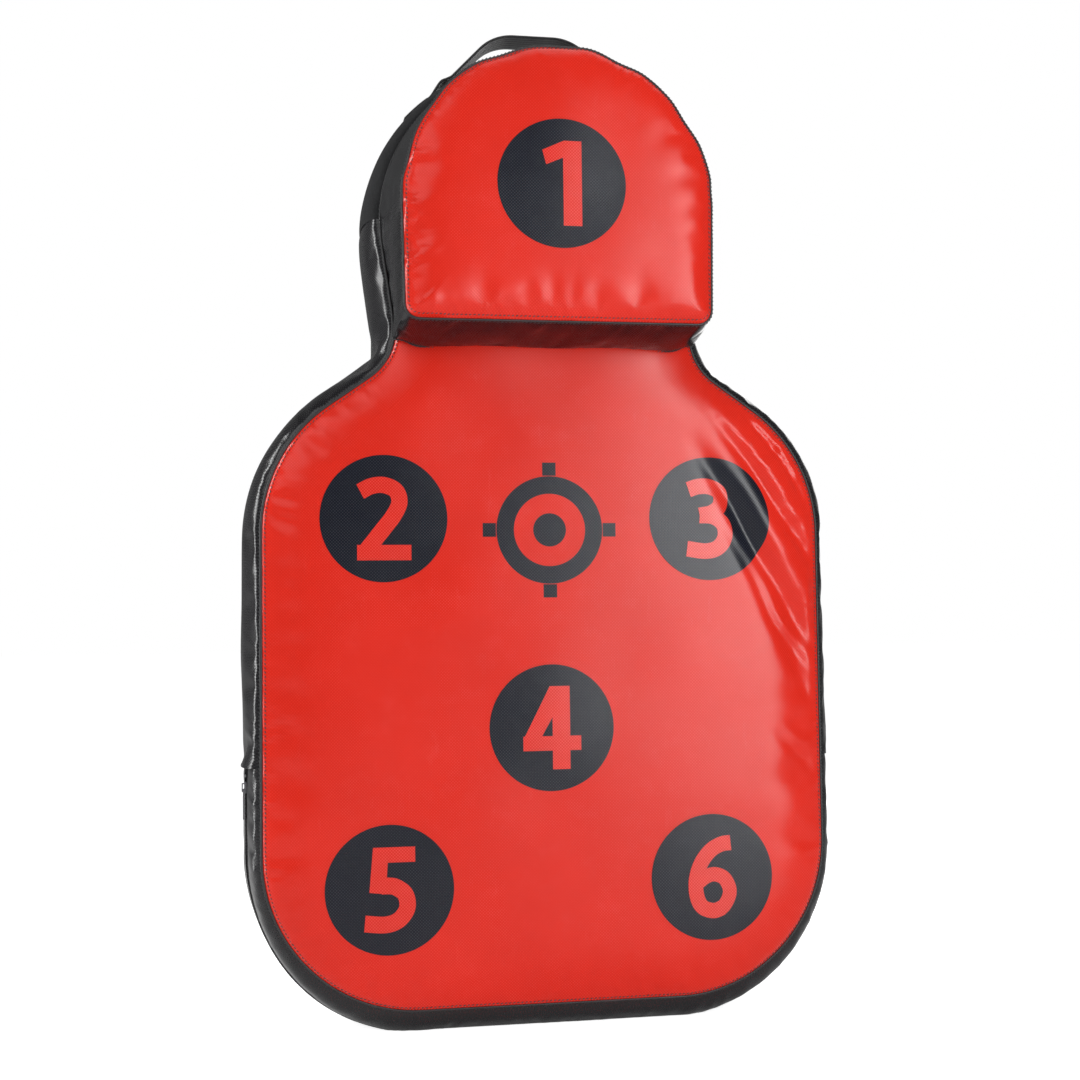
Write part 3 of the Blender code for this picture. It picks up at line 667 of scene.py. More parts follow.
def torso_cover(name, side, spacing, seed, cap):
    points, faces = panel_fill(TORSO, EDGE_RINGS, spacing)
    distance, _ = nearest(TORSO, points)
    distance = np.maximum(distance, 0.0)
    inward = 0.0010 * (1.0 - smooth_step(distance, 0.0, 0.003))
    y = side * (BACK - crowned(distance)) - side * inward * 0.3
    placed = np.column_stack([points[:, 0], y, points[:, 1]])
    if side > 0:
        faces = [face[::-1] for face in faces]
    made = new_object(name, placed, faces, np.column_stack([points, np.zeros(len(points))]))
    settle(made, distance < 0.003, 0.004, 1.6, cap, bending=6.0)
    refine(made)
    co = coordinates(made.data)
    distance, along = nearest(TORSO, co[:, [0, 2]])
    distance = np.maximum(distance, 0.0)
    lift = puckers(along, distance, seed)
    lift += 0.0007 * plane_noise(co[:, 0], co[:, 2], 0.075, seed + 7) * smooth_step(distance, 0.01, 0.05)
    if side < 0:
        lift += fold_depth(co[:, 0], co[:, 2]) * smooth_step(distance, 0.003, 0.016)
        normals = vertex_normals(made.data)
        co += normals * lift[:, None]
    else:
        free = smooth_step(patch_distance(co[:, 0], co[:, 2]), 0.004, 0.040)
        flat = BACK - crowned(distance)
        co[:, 1] = flat + (np.maximum(co[:, 1] - flat, 0.0) + lift) * free
        co[:, 1] -= 0.0016 * np.exp(-((patch_distance(co[:, 0], co[:, 2]) - 0.006) / 0.006) ** 2) * free
    co[:, 1] = np.clip(co[:, 1], -BACK - 0.012, BACK + 0.010)
    move_to(made.data, co)
    close_sheet(made, 0.0016)
    return made


front_cover = torso_cover("torso_front_cover", -1, SPACING, 11, 0.0045)
dress(front_cover, "shield", LOOKS["red"], "red_coated_fabric", "torso_front_panel", "torso_strike_foam")
back_cover = torso_cover("torso_back_cover", 1, 0.009, 23, 0.0045)
dress(
    back_cover, "shield", LOOKS["gloss_black"], "black_coated_fabric", "torso_back_panel", "torso_backing_foam"
)


# Walls of the torso

def swell(part):
    return (1.0 - np.minimum(1.0, np.abs(part)) ** SWELL_POWER) ** (1.0 / SWELL_POWER)


def torso_wall_out(normals, y):
    """How far the wall stands out from the outline at a level."""
    amount = SIDE_SWELL + (BOTTOM_SWELL - SIDE_SWELL) * np.maximum(0.0, -normals[:, 1]) ** 2
    tuck = 0.0012 * (1.0 - smooth_step(WALL_HALF + 0.0005 - np.abs(y), 0.0, 0.0035))
    return amount * swell(y / (WALL_HALF + 0.0004)) - tuck


def wall_grid(outline, start, stop, levels, out):
    """Points, faces and fabric places of a wall strip between two stations of an outline."""
    count = len(outline["points"])
    stations = np.arange(start, stop + 1)
    rows = len(stations)
    here, normals = outline["points"][stations % count], outline["normals"][stations % count]
    along = stations * outline["length"] / count
    points, fabric = [], []
    for y in levels:
        off = out(normals, np.full(rows, y), along)
        flat = here + normals * off[:, None]
        points.append(np.column_stack([flat[:, 0], np.full(rows, y), flat[:, 1]]))
        fabric.append(np.column_stack([along, np.full(rows, y), np.zeros(rows)]))
    faces = []
    for level in range(len(levels) - 1):
        for k in range(rows - 1):
            a = level * rows + k
            faces.append((a, a + rows, a + rows + 1, a + 1))
    return np.vstack(points), faces, np.vstack(fabric)


def even_levels(low, high, step):
    return np.linspace(low, high, max(2, int(round((high - low) / step))) + 1)


def seam_levels(low, high, step, ends=(True, True)):
    """Levels across a wall, closer together at its sewn ends."""
    near = np.array([0.0, 0.0012, 0.0028, 0.0050, 0.0080])
    first = low + near if ends[0] else np.array([low])
    last = high - near[::-1] if ends[1] else np.array([high])
    middle = even_levels(first[-1], last[0], step)[1:-1]
    return np.concatenate([first, middle, last])


def torso_strip(name, start, stop, levels, seed, look, slot, nodes, hems=(0.0, 0.0), slack=0.006, cap=0.0035):
    """One gusset of the torso's wall. Hems says how far its two short ends stand out or tuck in."""
    def out(normals, y, along):
        off = torso_wall_out(normals, y)
        for hem, distance in zip(hems, (along - along[0], along[-1] - along)):
            fade = np.exp(-distance / (0.010 if hem > 0 else 0.006))
            off = off + hem * fade * smooth_step(WALL_HALF - np.abs(y), 0.0, 0.012)
        return off

    points, faces, fabric = wall_grid(TORSO, start, stop, levels, out)
    made = new_object(name, points, faces, fabric)
    rows = stop - start + 1
    place = np.arange(len(points))
    edge_rows = (place < 2 * rows) | (place >= len(points) - 2 * rows)
    held = edge_rows | (place % rows == 0) | (place % rows == rows - 1)
    settle(made, held, slack, 1.2, cap, bending=4.0)
    refine(made)
    co, fab = coordinates(made.data), fabric_place(made.data)
    normals = vertex_normals(made.data)
    lift = np.zeros(len(co))
    for side, offset in ((-1, 11), (1, 23)):
        distance = np.abs(fab[:, 1] - side * WALL_HALF)
        lift += puckers(fab[:, 0], distance, offset, 0.016, 0.0009)
    middle = smooth_step(WALL_HALF - np.abs(fab[:, 1]), 0.004, 0.030)
    lift += 0.0009 * plane_noise(fab[:, 0], fab[:, 1] * 1.4, 0.055, seed) * middle
    co += normals * lift[:, None]
    co[:, 2] = np.maximum(co[:, 2], 0.0002)
    move_to(made.data, co)
    close_sheet(made, 0.0015)
    return dress(made, "shield", LOOKS[look], slot, *nodes)


STATIONS = len(TORSO["points"])
LOW_JOINT = place_at_height(TORSO, GUSSET_JOINT)
HIGH_JOINT = place_at_height(TORSO, ARCH_HEIGHT)
FULL = seam_levels(-WALL_HALF - 0.0004, WALL_HALF + 0.0004, 0.006)
VINYL = "black_coated_fabric"
front_levels = seam_levels(-WALL_HALF - 0.0004, ZIP_LINE - ZIP_HALF_SLOT + 0.0004, 0.005, (True, False))
rear_levels = seam_levels(ZIP_LINE + ZIP_HALF_SLOT - 0.0004, WALL_HALF + 0.0004, 0.006, (False, True))
RIGHT, ARCH = (LOW_JOINT, HIGH_JOINT), (HIGH_JOINT, STATIONS - HIGH_JOINT)
LEFT, BOTTOM = (STATIONS - HIGH_JOINT, STATIONS - LOW_JOINT), (STATIONS - LOW_JOINT, STATIONS + LOW_JOINT)
GLOSS, WOVEN = ("gloss_black", VINYL), ("woven_black", "black_woven")
REAR_NODES = ["lower_rear_gusset", "torso_core_foam"]
for name, span, levels, seed, cloth, nodes, ends in (
    ("right_flank_cover", RIGHT, FULL, 41, GLOSS, ["right_side_gusset"], (0.0008, 0.0)),
    ("head_zone_arch_cover", ARCH, FULL, 42, WOVEN, ["head_arch_gusset"], (0.0006, 0.0006)),
    ("left_flank_cover", LEFT, FULL, 43, GLOSS, ["left_side_gusset"], (0.0, 0.0042)),
    ("lower_front_cover", BOTTOM, front_levels, 44, GLOSS, ["lower_front_gusset"], (-0.0012, -0.0012)),
    ("lower_rear_cover", BOTTOM, rear_levels, 45, GLOSS, REAR_NODES, (-0.0012, -0.0012)),
):
    torso_strip(name, *span, levels, seed, *cloth, nodes, ends)


# Head block

HEAD_STATIONS = 272
HEAD_A = arched_outline(HEAD_FRONT[:2], HEAD_FRONT[2], HEAD_FRONT[3], 0.004, HEAD_STATIONS)
HEAD_B = arched_outline(HEAD_REAR[:2], HEAD_REAR[2], HEAD_REAR[3], 0.004, HEAD_STATIONS)


def head_crown(distance):
    edge = CROWN * np.clip(1.0 - distance / 0.022, 0.0, 1.0) ** 3.4
    return edge + 0.0012 * (1.0 - smooth_step(distance, 0.0, 0.0035))


def head_seam_puckers(along, distance, x, z):
    """The head's puckers, strongest low on its left seam."""
    strong = smooth_step(-x, 0.110, 0.135) * smooth_step(0.900 - z, 0.0, 0.06)
    wide = puckers(along, distance, 61, 0.020, 0.0046, 0.026) * strong
    return puckers(along, distance, 71, 0.012, 0.0009, 0.011) + wide


def build_head_cover():
    points, faces = panel_fill(HEAD_A, (0.0, 0.0015, 0.0036, 0.0065, 0.0100), 0.0052)
    distance = np.maximum(nearest(HEAD_A, points)[0], 0.0)
    placed = np.column_stack([points[:, 0], HEAD_FACE + head_crown(distance), points[:, 1]])
    made = new_object("head_front_cover", placed, faces, np.column_stack([points, np.zeros(len(points))]))
    settle(made, distance < 0.0025, 0.006, 1.4, 0.004, bending=5.0)
    refine(made)
    co = coordinates(made.data)
    distance, along = nearest(HEAD_A, co[:, [0, 2]])
    distance = np.maximum(distance, 0.0)
    lift = head_seam_puckers(along, distance, co[:, 0], co[:, 2])
    lift += 0.0006 * plane_noise(co[:, 0], co[:, 2], 0.06, 77) * smooth_step(distance, 0.01, 0.04)
    co += vertex_normals(made.data) * lift[:, None]
    move_to(made.data, co)
    close_sheet(made, 0.0016)
    dress(made, "shield", LOOKS["red"], "red_coated_fabric", "head_front_panel", "head_strike_foam")
    return made


def flared_rear():
    """How far each station's rear edge moves to meet the torso's seam, and how much of that applies."""
    points = HEAD_B["points"]
    reached = points + HEAD_B["normals"] * 0.024
    edge = TORSO["points"] + TORSO["normals"] * 0.0006
    nearest_edge = edge[np.argmin(((reached[:, None] - edge[None]) ** 2).sum(2), axis=1)]
    smoothed = sum(np.roll(nearest_edge, k, 0) for k in (-2, -1, 0, 1, 2)) / 5.0
    return smoothed - points, smooth_step(points[:, 1], 0.696, 0.718)


HEAD_FLARE, HEAD_FLARED = flared_rear()


def head_strip(name, start, stop, look, slot, nodes):
    """One gusset of the head block's wall, from its front seam back to the torso's."""
    near, far = HEAD_WALL[0] - 0.0011, HEAD_WALL[1] + 0.0003
    levels = seam_levels(near, far, 0.0050)
    stations = np.arange(start, stop + 1)
    rows = len(stations)
    points, fabric = [], []
    for y in levels:
        part = (y - near) / (far - near)
        flat = HEAD_A["points"] * (1 - part) + HEAD_B["points"] * part
        normals = HEAD_A["normals"] * (1 - part) + HEAD_B["normals"] * part
        here, normal = flat[stations % HEAD_STATIONS], normals[stations % HEAD_STATIONS]
        amount = HEAD_SIDE_SWELL + (HEAD_BOTTOM_SWELL - HEAD_SIDE_SWELL) * np.maximum(0.0, -normal[:, 1])
        tuck = 0.0012 * (1.0 - smooth_step(min(y - near, far - y), 0.0, 0.0035))
        flared = HEAD_FLARED[stations % HEAD_STATIONS]
        off = amount * swell(2.0 * part - 1.0) * (1.0 - 0.8 * flared) - tuck
        here = here + HEAD_FLARE[stations % HEAD_STATIONS] * (flared * part ** 1.5)[:, None]
        depth = y + flared * 0.0116 * part ** 3
        flat = here + normal * off[:, None]
        points.append(np.column_stack([flat[:, 0], depth, flat[:, 1]]))
        along = stations * HEAD_A["length"] / HEAD_STATIONS
        fabric.append(np.column_stack([along, np.full(rows, y), np.zeros(rows)]))
    faces = []
    for level in range(len(levels) - 1):
        for k in range(rows - 1):
            a = level * rows + k
            faces.append((a, a + rows, a + rows + 1, a + 1))
    made = new_object(name, np.vstack(points), faces, np.vstack(fabric))
    place = np.arange(rows * len(levels))
    edge_rows = (place < 2 * rows) | (place >= len(place) - 2 * rows)
    held = edge_rows | (place % rows == 0) | (place % rows == rows - 1)
    settle(made, held, 0.006, 1.2, 0.003, bending=4.0)
    refine(made)
    co, fab = coordinates(made.data), fabric_place(made.data)
    front_gap = np.abs(fab[:, 1] - near)
    lift = puckers(fab[:, 0], front_gap, 71, 0.014, 0.0009)
    lift += puckers(fab[:, 0], np.abs(far - fab[:, 1]), 75, 0.012, 0.0008)
    lift += 0.0008 * plane_noise(fab[:, 0], fab[:, 1], 0.04, 78) * smooth_step(front_gap, 0.004, 0.02)
    co += vertex_normals(made.data) * lift[:, None]
    flared = HEAD_FLARED[np.round(fab[:, 0] * HEAD_STATIONS / HEAD_A["length"]).astype(int) % HEAD_STATIONS]
    co[:, 1] = np.minimum(co[:, 1], -BACK - 0.0002 + 0.0118 * flared)
    move_to(made.data, co)
    close_sheet(made, 0.0014)
    return dress(made, "shield", LOOKS[look], slot, *nodes)


head_cover = build_head_cover()
CORNER = place_at_height(HEAD_A, 0.7091)
HEAD_JOINT = place_at_height(HEAD_A, 0.821)
UNDERSIDE_NODES = ["head_block_bottom_gusset", "head_core_foam"]
for name, start, stop, cloth, nodes in (
    ("underside", HEAD_STATIONS - CORNER, HEAD_STATIONS + CORNER, GLOSS, UNDERSIDE_NODES),
    ("right", CORNER, HEAD_JOINT, GLOSS, ["head_block_right_gusset"]),
    ("arch", HEAD_JOINT, HEAD_STATIONS - HEAD_JOINT, WOVEN, ["head_block_arch_gusset"]),
    ("left", HEAD_STATIONS - HEAD_JOINT, HEAD_STATIONS - CORNER, GLOSS, ["head_block_left_gusset"]),
):
    head_strip(f"head_{name}_cover", start, stop, *cloth, nodes)


# Seams: a rounded lip of folded cloth and a row of stitches

def swept(name, path, radii, sides, closed=True, flat=1.0):
    """A tube along a path; radii may be one number or one for each point."""
    path = np.asarray(path, float)
    ahead = np.roll(path, -1, 0) - np.roll(path, 1, 0)
    if not closed:
        ahead[0], ahead[-1] = path[1] - path[0], path[-1] - path[-2]
    ahead /= np.linalg.norm(ahead, axis=1)[:, None]
    reference = np.tile((0.0, 1.0, 0.0), (len(path), 1))
    reference[np.abs(ahead[:, 1]) > 0.9] = (0.0, 0.0, 1.0)
    u = np.cross(ahead, reference)
    u /= np.linalg.norm(u, axis=1)[:, None]
    v = np.cross(ahead, u)
    radii = np.broadcast_to(np.asarray(radii, float), (len(path),))
    along = np.r_[0.0, np.cumsum(np.linalg.norm(np.diff(path, axis=0), axis=1))]
    points, fabric = [], []
    for k in range(sides):
        angle = 2 * math.pi * k / sides
        ring = path + (u * math.cos(angle) * flat + v * math.sin(angle)) * radii[:, None]
        points.append(ring)
        fabric.append(np.column_stack([along, np.full(len(path), angle * radii.mean()), np.zeros(len(path))]))
    points = np.stack(points, 1).reshape(-1, 3)
    fabric = np.stack(fabric, 1).reshape(-1, 3)
    count, faces = len(path), []
    for i in range(count if closed else count - 1):
        j = (i + 1) % count
        for k in range(sides):
            m = (k + 1) % sides
            faces.append((i * sides + k, j * sides + k, j * sides + m, i * sides + m))
    if not closed:
        faces.append(tuple(range(sides)))
        faces.append(tuple(range((count - 1) * sides, count * sides))[::-1])
    made = new_object(name, points, faces, fabric)
    tidy_faces(made)
    return made


def tidy_faces(made):
    """Make a closed mesh's faces point out and shade it smooth."""
    built = bmesh.new()
    built.from_mesh(made.data)
    bmesh.ops.recalc_face_normals(built, faces=built.faces)
    built.to_mesh(made.data)
    built.free()
    made.data.shade_smooth()
    made.data.set_sharp_from_angle(angle=math.radians(50))


def stitch_row(name, path, pitch, length, radius, closed=True, slant=0.0):
    """A row of separate thread stitches along a path."""
    path = np.asarray(path, float)
    if closed:
        path = np.vstack([path, path[:1]])
    along = np.r_[0.0, np.cumsum(np.linalg.norm(np.diff(path, axis=0), axis=1))]
    count = int(along[-1] / pitch)
    points, faces, fabric = [], [], []
    sides, rings = 6, ((-0.5, 0.25), (-0.32, 1.0), (0.32, 1.0), (0.5, 0.25))
    for number in range(count):
        middle = (number + 0.5) * along[-1] / count
        ends = [
            np.array([np.interp(middle + way * length / 2, along, path[:, k]) for k in range(3)])
            for way in (-1, 1)
        ]
        centre, ahead = (ends[0] + ends[1]) / 2, ends[1] - ends[0]
        ahead /= max(np.linalg.norm(ahead), 1e-9)
        side = np.cross(ahead, (0.0, 1.0, 0.0))
        if np.linalg.norm(side) < 0.2:
            side = np.cross(ahead, (1.0, 0.0, 0.0))
        side /= np.linalg.norm(side)
        ahead = ahead * math.cos(slant) + side * math.sin(slant)
        side = np.cross(ahead, np.cross(side, ahead))
        side /= np.linalg.norm(side)
        other = np.cross(ahead, side)
        first = len(points)
        for part, width in rings:
            for k in range(sides):
                angle = 2 * math.pi * k / sides
                out = (side * math.cos(angle) + other * math.sin(angle)) * radius * width
                points.append(centre + ahead * part * length + out)
                fabric.append((middle + part * length, radius * angle, 0.0))
        for ring in range(len(rings) - 1):
            for k in range(sides):
                a, b = first + ring * sides + k, first + ring * sides + (k + 1) % sides
                faces.append((a, b, b + sides, a + sides))
        faces.append(tuple(range(first + sides - 1, first - 1, -1)))
        faces.append(tuple(range(first + (len(rings) - 1) * sides, first + len(rings) * sides)))
    made = new_object(name, points, faces, fabric)
    tidy_faces(made)
    return made


def seam_path(outline, out, y):
    flat = outline["points"] + outline["normals"] * out
    return np.column_stack([flat[:, 0], np.full(len(flat), y), flat[:, 1]])


def head_base_path(out, forward):
    """The line where the head block's wall is sewn down."""
    path = seam_path(HEAD_B, out, HEAD_WALL[1] + forward)
    path[:, [0, 2]] += HEAD_FLARE * HEAD_FLARED[:, None]
    path[:, 1] += 0.0108 * HEAD_FLARED
    return path


def build_seams():
    lips = (
        ("torso_front_seam_lip", seam_path(TORSO, 0.0006, -0.0636), 0.0015),
        ("torso_back_seam_lip", seam_path(TORSO, 0.0006, 0.0636), 0.0015),
        ("head_front_seam_lip", seam_path(HEAD_A, 0.0005, HEAD_WALL[0] - 0.0009), 0.0013),
        ("head_base_seam_lip", head_base_path(0.0008, -0.0006), 0.0013),
    )
    for name, path, radius in lips:
        bumps = 1.0 + 0.13 * wave_noise(np.arange(len(path)) * 0.004, 0.013, len(name))
        dress(swept(name, path, radius * bumps, 8), "shield", LOOKS["lip"], VINYL)
    head_line = HEAD_WALL[0] + 0.0004
    rows = (
        ("torso_front_wall_stitches", seam_path(TORSO, 0.0026, -0.0622), 0.00040),
        ("torso_back_wall_stitches", seam_path(TORSO, 0.0026, 0.0622), 0.00045),
        ("head_front_wall_stitches", seam_path(HEAD_A, 0.0022, head_line), 0.00040),
        ("head_base_stitches", head_base_path(0.0020, -0.0022), 0.00042),
    )
    for name, path, radius in rows:
        dress(stitch_row(name, path, 0.0040, 0.0026, radius, slant=0.35), "shield", LOOKS["dark_thread"], VINYL)


LOOKS["lip"] = coated_fabric("seam_lip_vinyl", (0.0120, 0.0118, 0.0135), 0.36, 0.00012, 0.3, 0.6)
build_seams()


# Printed targets on the covers

def finer(loop, step):
    """The loop with its long edges divided."""
    made = []
    for first, second in zip(loop, np.roll(loop, -1, 0)):
        parts = max(1, int(np.linalg.norm(second - first) / step))
        made += [first + (second - first) * k / parts for k in range(parts)]
    return np.array(made)


def curved(points, step=0.02):
    """A smooth line through points, by Catmull-Rom segments."""
    points = np.array(points, float)
    padded = np.vstack([2 * points[0] - points[1], points, 2 * points[-1] - points[-2]])
    made = []
    for k in range(len(points) - 1):
        a, b, c, d = padded[k:k + 4]
        parts = max(2, int(np.linalg.norm(c - b) / step))
        for t in np.arange(parts) / parts:
            square, cube = 2 * a - 5 * b + 4 * c - d, 3 * b - a - 3 * c + d
            made.append(0.5 * (2 * b + (c - a) * t + square * t ** 2 + cube * t ** 3))
    return np.array([*made, points[-1]])


def thick(points, width=0.195):
    """The closed outline of a stroke with square ends along a smooth line."""
    line = curved(points)
    ahead = np.gradient(line, axis=0)
    side = np.column_stack([-ahead[:, 1], ahead[:, 0]]) / np.linalg.norm(ahead, axis=1)[:, None] * width / 2
    return np.vstack([line + side, (line - side)[::-1]])


NUMERAL_HEIGHT = 0.084
DISC_PROUD = 0.00045
MARK_PROUD = 0.00022
MARK_SPACING = 0.0035

# Numerals one unit high, as overlapping outlines
NUMERALS = {
    "1": [
        np.array([
            (0.245, 0.0), (0.465, 0.0), (0.465, 1.0), (0.255, 1.0), (0.0, 0.885), (0.045, 0.715), (0.245, 0.80),
        ]),
    ],
    "2": [
        thick([
            (0.04, 0.825), (0.17, 0.89), (0.32, 0.905), (0.465, 0.84), (0.51, 0.70), (0.44, 0.54),
            (0.31, 0.37), (0.12, 0.13),
        ]),
        np.array([(0.0, 0.0), (0.65, 0.0), (0.65, 0.185), (0.0, 0.185)]),
    ],
    "3": [
        thick([
            (0.05, 0.86), (0.18, 0.90), (0.33, 0.895), (0.455, 0.82), (0.455, 0.67), (0.35, 0.575),
            (0.19, 0.54),
        ]),
        thick([
            (0.19, 0.54), (0.36, 0.525), (0.49, 0.43), (0.51, 0.27), (0.42, 0.14), (0.26, 0.095),
            (0.02, 0.125),
        ]),
    ],
    "4": [
        np.array([(0.36, 0.0), (0.575, 0.0), (0.575, 1.0), (0.36, 1.0)]),
        np.array([(0.33, 1.0), (0.575, 1.0), (0.23, 0.40), (0.0, 0.40), (0.0, 0.36)]),
        np.array([(0.0, 0.225), (0.71, 0.225), (0.71, 0.40), (0.0, 0.40)]),
    ],
    "5": [
        np.array([(0.10, 0.82), (0.60, 0.82), (0.60, 1.0), (0.10, 1.0)]),
        np.array([(0.10, 1.0), (0.285, 1.0), (0.262, 0.64), (0.25, 0.452), (0.055, 0.475)]),
        thick([
            (0.20, 0.548), (0.28, 0.548), (0.37, 0.53), (0.48, 0.44), (0.50, 0.28), (0.40, 0.145),
            (0.24, 0.095), (0.0, 0.115),
        ]),
    ],
    "6": [
        thick([
            (0.56, 0.91), (0.44, 0.895), (0.30, 0.82), (0.18, 0.67), (0.115, 0.48), (0.12, 0.28),
            (0.19, 0.14), (0.33, 0.09), (0.45, 0.125),
        ], 0.185),
        thick([
            (0.21, 0.125), (0.33, 0.09), (0.46, 0.14), (0.54, 0.31), (0.48, 0.47), (0.36, 0.53),
            (0.25, 0.51), (0.14, 0.44),
        ], 0.175),
    ],
}


def numeral_loops(character, height):
    """A numeral's outlines, centred on the origin."""
    loops = NUMERALS[character]
    low = np.min([loop.min(0) for loop in loops], 0)
    high = np.max([loop.max(0) for loop in loops], 0)
    return [(loop - (low + high) / 2) * height / (high[1] - low[1]) for loop in loops]


def ring_loop(radius, count=120):
    angles = np.arange(count) * 2 * math.pi / count
    return np.column_stack([np.cos(angles), np.sin(angles)]) * radius


def depth_at(surface, x, z):
    """The y at which a cover's front is met, looking along +Y."""
    return surface.ray_cast(Vector((x, -0.5, z)), Vector((0.0, 1.0, 0.0)))[0].y


def decal(name, loops, centre, surface, proud, look, spacing=0.0024, overlap=False):
    """A thin closed print that lies on a cover."""
    points, triangles = filled([finer(loop, spacing) + centre for loop in loops], spacing, overlap)
    front, rear, fabric = [], [], []
    for x, z in points:
        y = depth_at(surface, x, z)
        front.append((x, y - proud, z))
        rear.append((x, y + 0.0004, z))
        fabric.append((x, z, 0.0))
    count = len(points)
    faces = [tuple(t) for t in triangles] + [tuple(n + count for n in t[::-1]) for t in triangles]
    sides = {}
    for a, b, c in triangles:
        for edge in ((a, b), (b, c), (c, a)):
            sides[edge] = True
    faces += [(b, a, a + count, b + count) for a, b in sides if (b, a) not in sides]
    made = new_object(name, front + rear, faces, fabric + fabric)
    tidy_faces(made)
    return dress(made, "shield", LOOKS[look], "red_coated_fabric")


def turned_bar(width, low, high, angle):
    corners = np.array([(-width / 2, low), (width / 2, low), (width / 2, high), (-width / 2, high)])
    c, s = math.cos(angle), math.sin(angle)
    return corners @ np.array([(c, s), (-s, c)])


def surface_of(made):
    return BVHTree.FromPolygons(
        [vertex.co.copy() for vertex in made.data.vertices],
        [tuple(face.vertices) for face in made.data.polygons],
    )


def build_targets():
    """The printed discs, numerals and centre mark, and the stitches that show beside the front seams."""
    torso, head = surface_of(front_cover), surface_of(head_cover)
    prints = [("1", 0.0, 0.838, head)] + [(*target, torso) for target in TARGETS]
    for character, x, z, surface in prints:
        centre = np.array((x, z))
        decal(f"target_{character}_disc", [ring_loop(DISC_RADIUS)], centre, surface, DISC_PROUD, "ink")
        numeral = numeral_loops(character, NUMERAL_HEIGHT)
        decal(f"target_{character}_numeral", numeral, centre, surface, 0.00085, "red_ink", overlap=True)
    for name, outline, surface in (("torso", TORSO, torso), ("head", HEAD_A, head)):
        path = seam_path(outline, -0.0034, 0.0)
        path[:, 1] = [depth_at(surface, x, z) - 0.00025 for x, _, z in path]
        row = stitch_row(f"{name}_front_stitches", path, 0.0042, 0.0028, 0.00050, slant=0.45)
        dress(row, "shield", LOOKS["dark_thread"], VINYL)
    centre = np.array((0.0, 0.504))
    rings = [ring_loop(0.055), ring_loop(0.037)]
    decal("centre_mark_ring", rings, centre, torso, MARK_PROUD, "ink", MARK_SPACING)
    decal("centre_mark_dot", [ring_loop(0.017, 60)], centre, torso, MARK_PROUD, "ink", MARK_SPACING)
    for number in range(4):
        tick = turned_bar(0.014, 0.0555, 0.069, number * math.pi / 2)
        decal(f"centre_mark_tick_{number + 1}", [tick], centre, torso, MARK_PROUD, "ink", MARK_SPACING)


build_targets()


def lump_arch(names):
    """Make the head block's arch a little uneven near its front seam, all its pieces together."""
    for name in names:
        mesh = bpy.data.objects[name].data
        co = coordinates(mesh)
        across, up = co[:, 0], co[:, 2] - HEAD_FRONT[3]
        radius, angle = np.hypot(across, up), np.arctan2(up, across)
        weight = smooth_step(radius, 0.105, 0.150) * smooth_step(-co[:, 1], 0.100, 0.140)
        weight *= smooth_step(up, 0.0, 0.03)
        grown = 1.0 + 0.0024 * (wave_noise(angle * 0.155, 0.030, 91) - 0.3) * weight / radius
        co[:, 0], co[:, 2] = across * grown, up * grown + HEAD_FRONT[3]
        move_to(mesh, co)


lump_arch((
    "head_front_cover", "head_arch_cover", "head_left_cover", "head_right_cover",
    "head_front_seam_lip", "head_front_wall_stitches", "head_front_stitches",
))


# Webbing, straps and their sewn ends

def strap_line(corners, step=0.0025):
    """Even points (s, h) and left normals along a path with rounded corners."""
    line = np.array([tuple(point) for point in rounded_line(corners)])
    along = np.r_[0.0, np.cumsum(np.hypot(*np.diff(line, axis=0).T))]
    at = np.linspace(0.0, along[-1], max(2, int(round(along[-1] / step))) + 1)
    points = np.column_stack([np.interp(at, along, line[:, k]) for k in (0, 1)])
    ahead = np.gradient(points, axis=0)
    ahead /= np.linalg.norm(ahead, axis=1)[:, None]
    return points, np.column_stack([-ahead[:, 1], ahead[:, 0]]), at


def section(width, thickness, ribs):
    """Half the edge round a strap's section: (across, out) from one edge to the other."""
    across = np.linspace(-1.0, 1.0, ribs * 2 + 1) * (width / 2 - thickness * 0.45)
    ripple = 0.00012 * np.cos(np.arange(len(across)) * math.pi)
    upper = [(w, thickness / 2 + r) for w, r in zip(across, ripple)]
    rim = [(width / 2 - thickness * 0.12, thickness * 0.36), (width / 2, 0.0)]
    top = [(-w, h) for w, h in rim[::-1]] + upper + rim
    return top + [(w, -h) for w, h in top[-2:0:-1]]


def strap(name, line, width, thickness, place, wobble=0.0, seed=1):
    """A closed strap with rounded edges and raised ribs, along a line of (s, h)."""
    points, normals, at = line
    outline = section(width, thickness, max(5, int(width / 0.0042)))
    rows, fabric = [], []
    lift = wobble * wave_noise(at, 0.05, seed)
    side = wobble * wave_noise(at, 0.07, seed + 1)
    for (s, h), (ns, nh), t, up, shift in zip(points, normals, at, lift, side):
        for w, out in outline:
            rows.append(place(s + ns * (out + up), h + nh * (out + up), w + shift))
            fabric.append((t, w if out >= 0 else width - w, 0.0))
    sides, count = len(outline), len(points)
    faces = []
    for i in range(count - 1):
        for k in range(sides):
            j = (k + 1) % sides
            faces.append((i * sides + k, i * sides + j, (i + 1) * sides + j, (i + 1) * sides + k))
    faces += [tuple(range(sides)), tuple(range((count - 1) * sides, count * sides))[::-1]]
    made = new_object(name, rows, faces, fabric)
    tidy_faces(made)
    return made


def on_back(x, z):
    def place(s, h, w):
        return x + w, BACK + h, z + s
    return place


def box_stitches(name, middle, half, place, body="shield"):
    """A sewn box with a cross in it, as a row of stitches; place takes (s, w)."""
    (s0, w0), (hs, hw) = middle, half
    corners = [(-hs, -hw), (hs, -hw), (hs, hw), (-hs, hw), (-hs, -hw), (hs, hw), (hs, -hw), (-hs, hw)]
    path = np.array([place(s0 + s, w0 + w) for s, w in corners])
    row = stitch_row(name, path, 0.0034, 0.0026, 0.00045, closed=False)
    return dress(row, body, LOOKS["pale_thread"], "webbing")


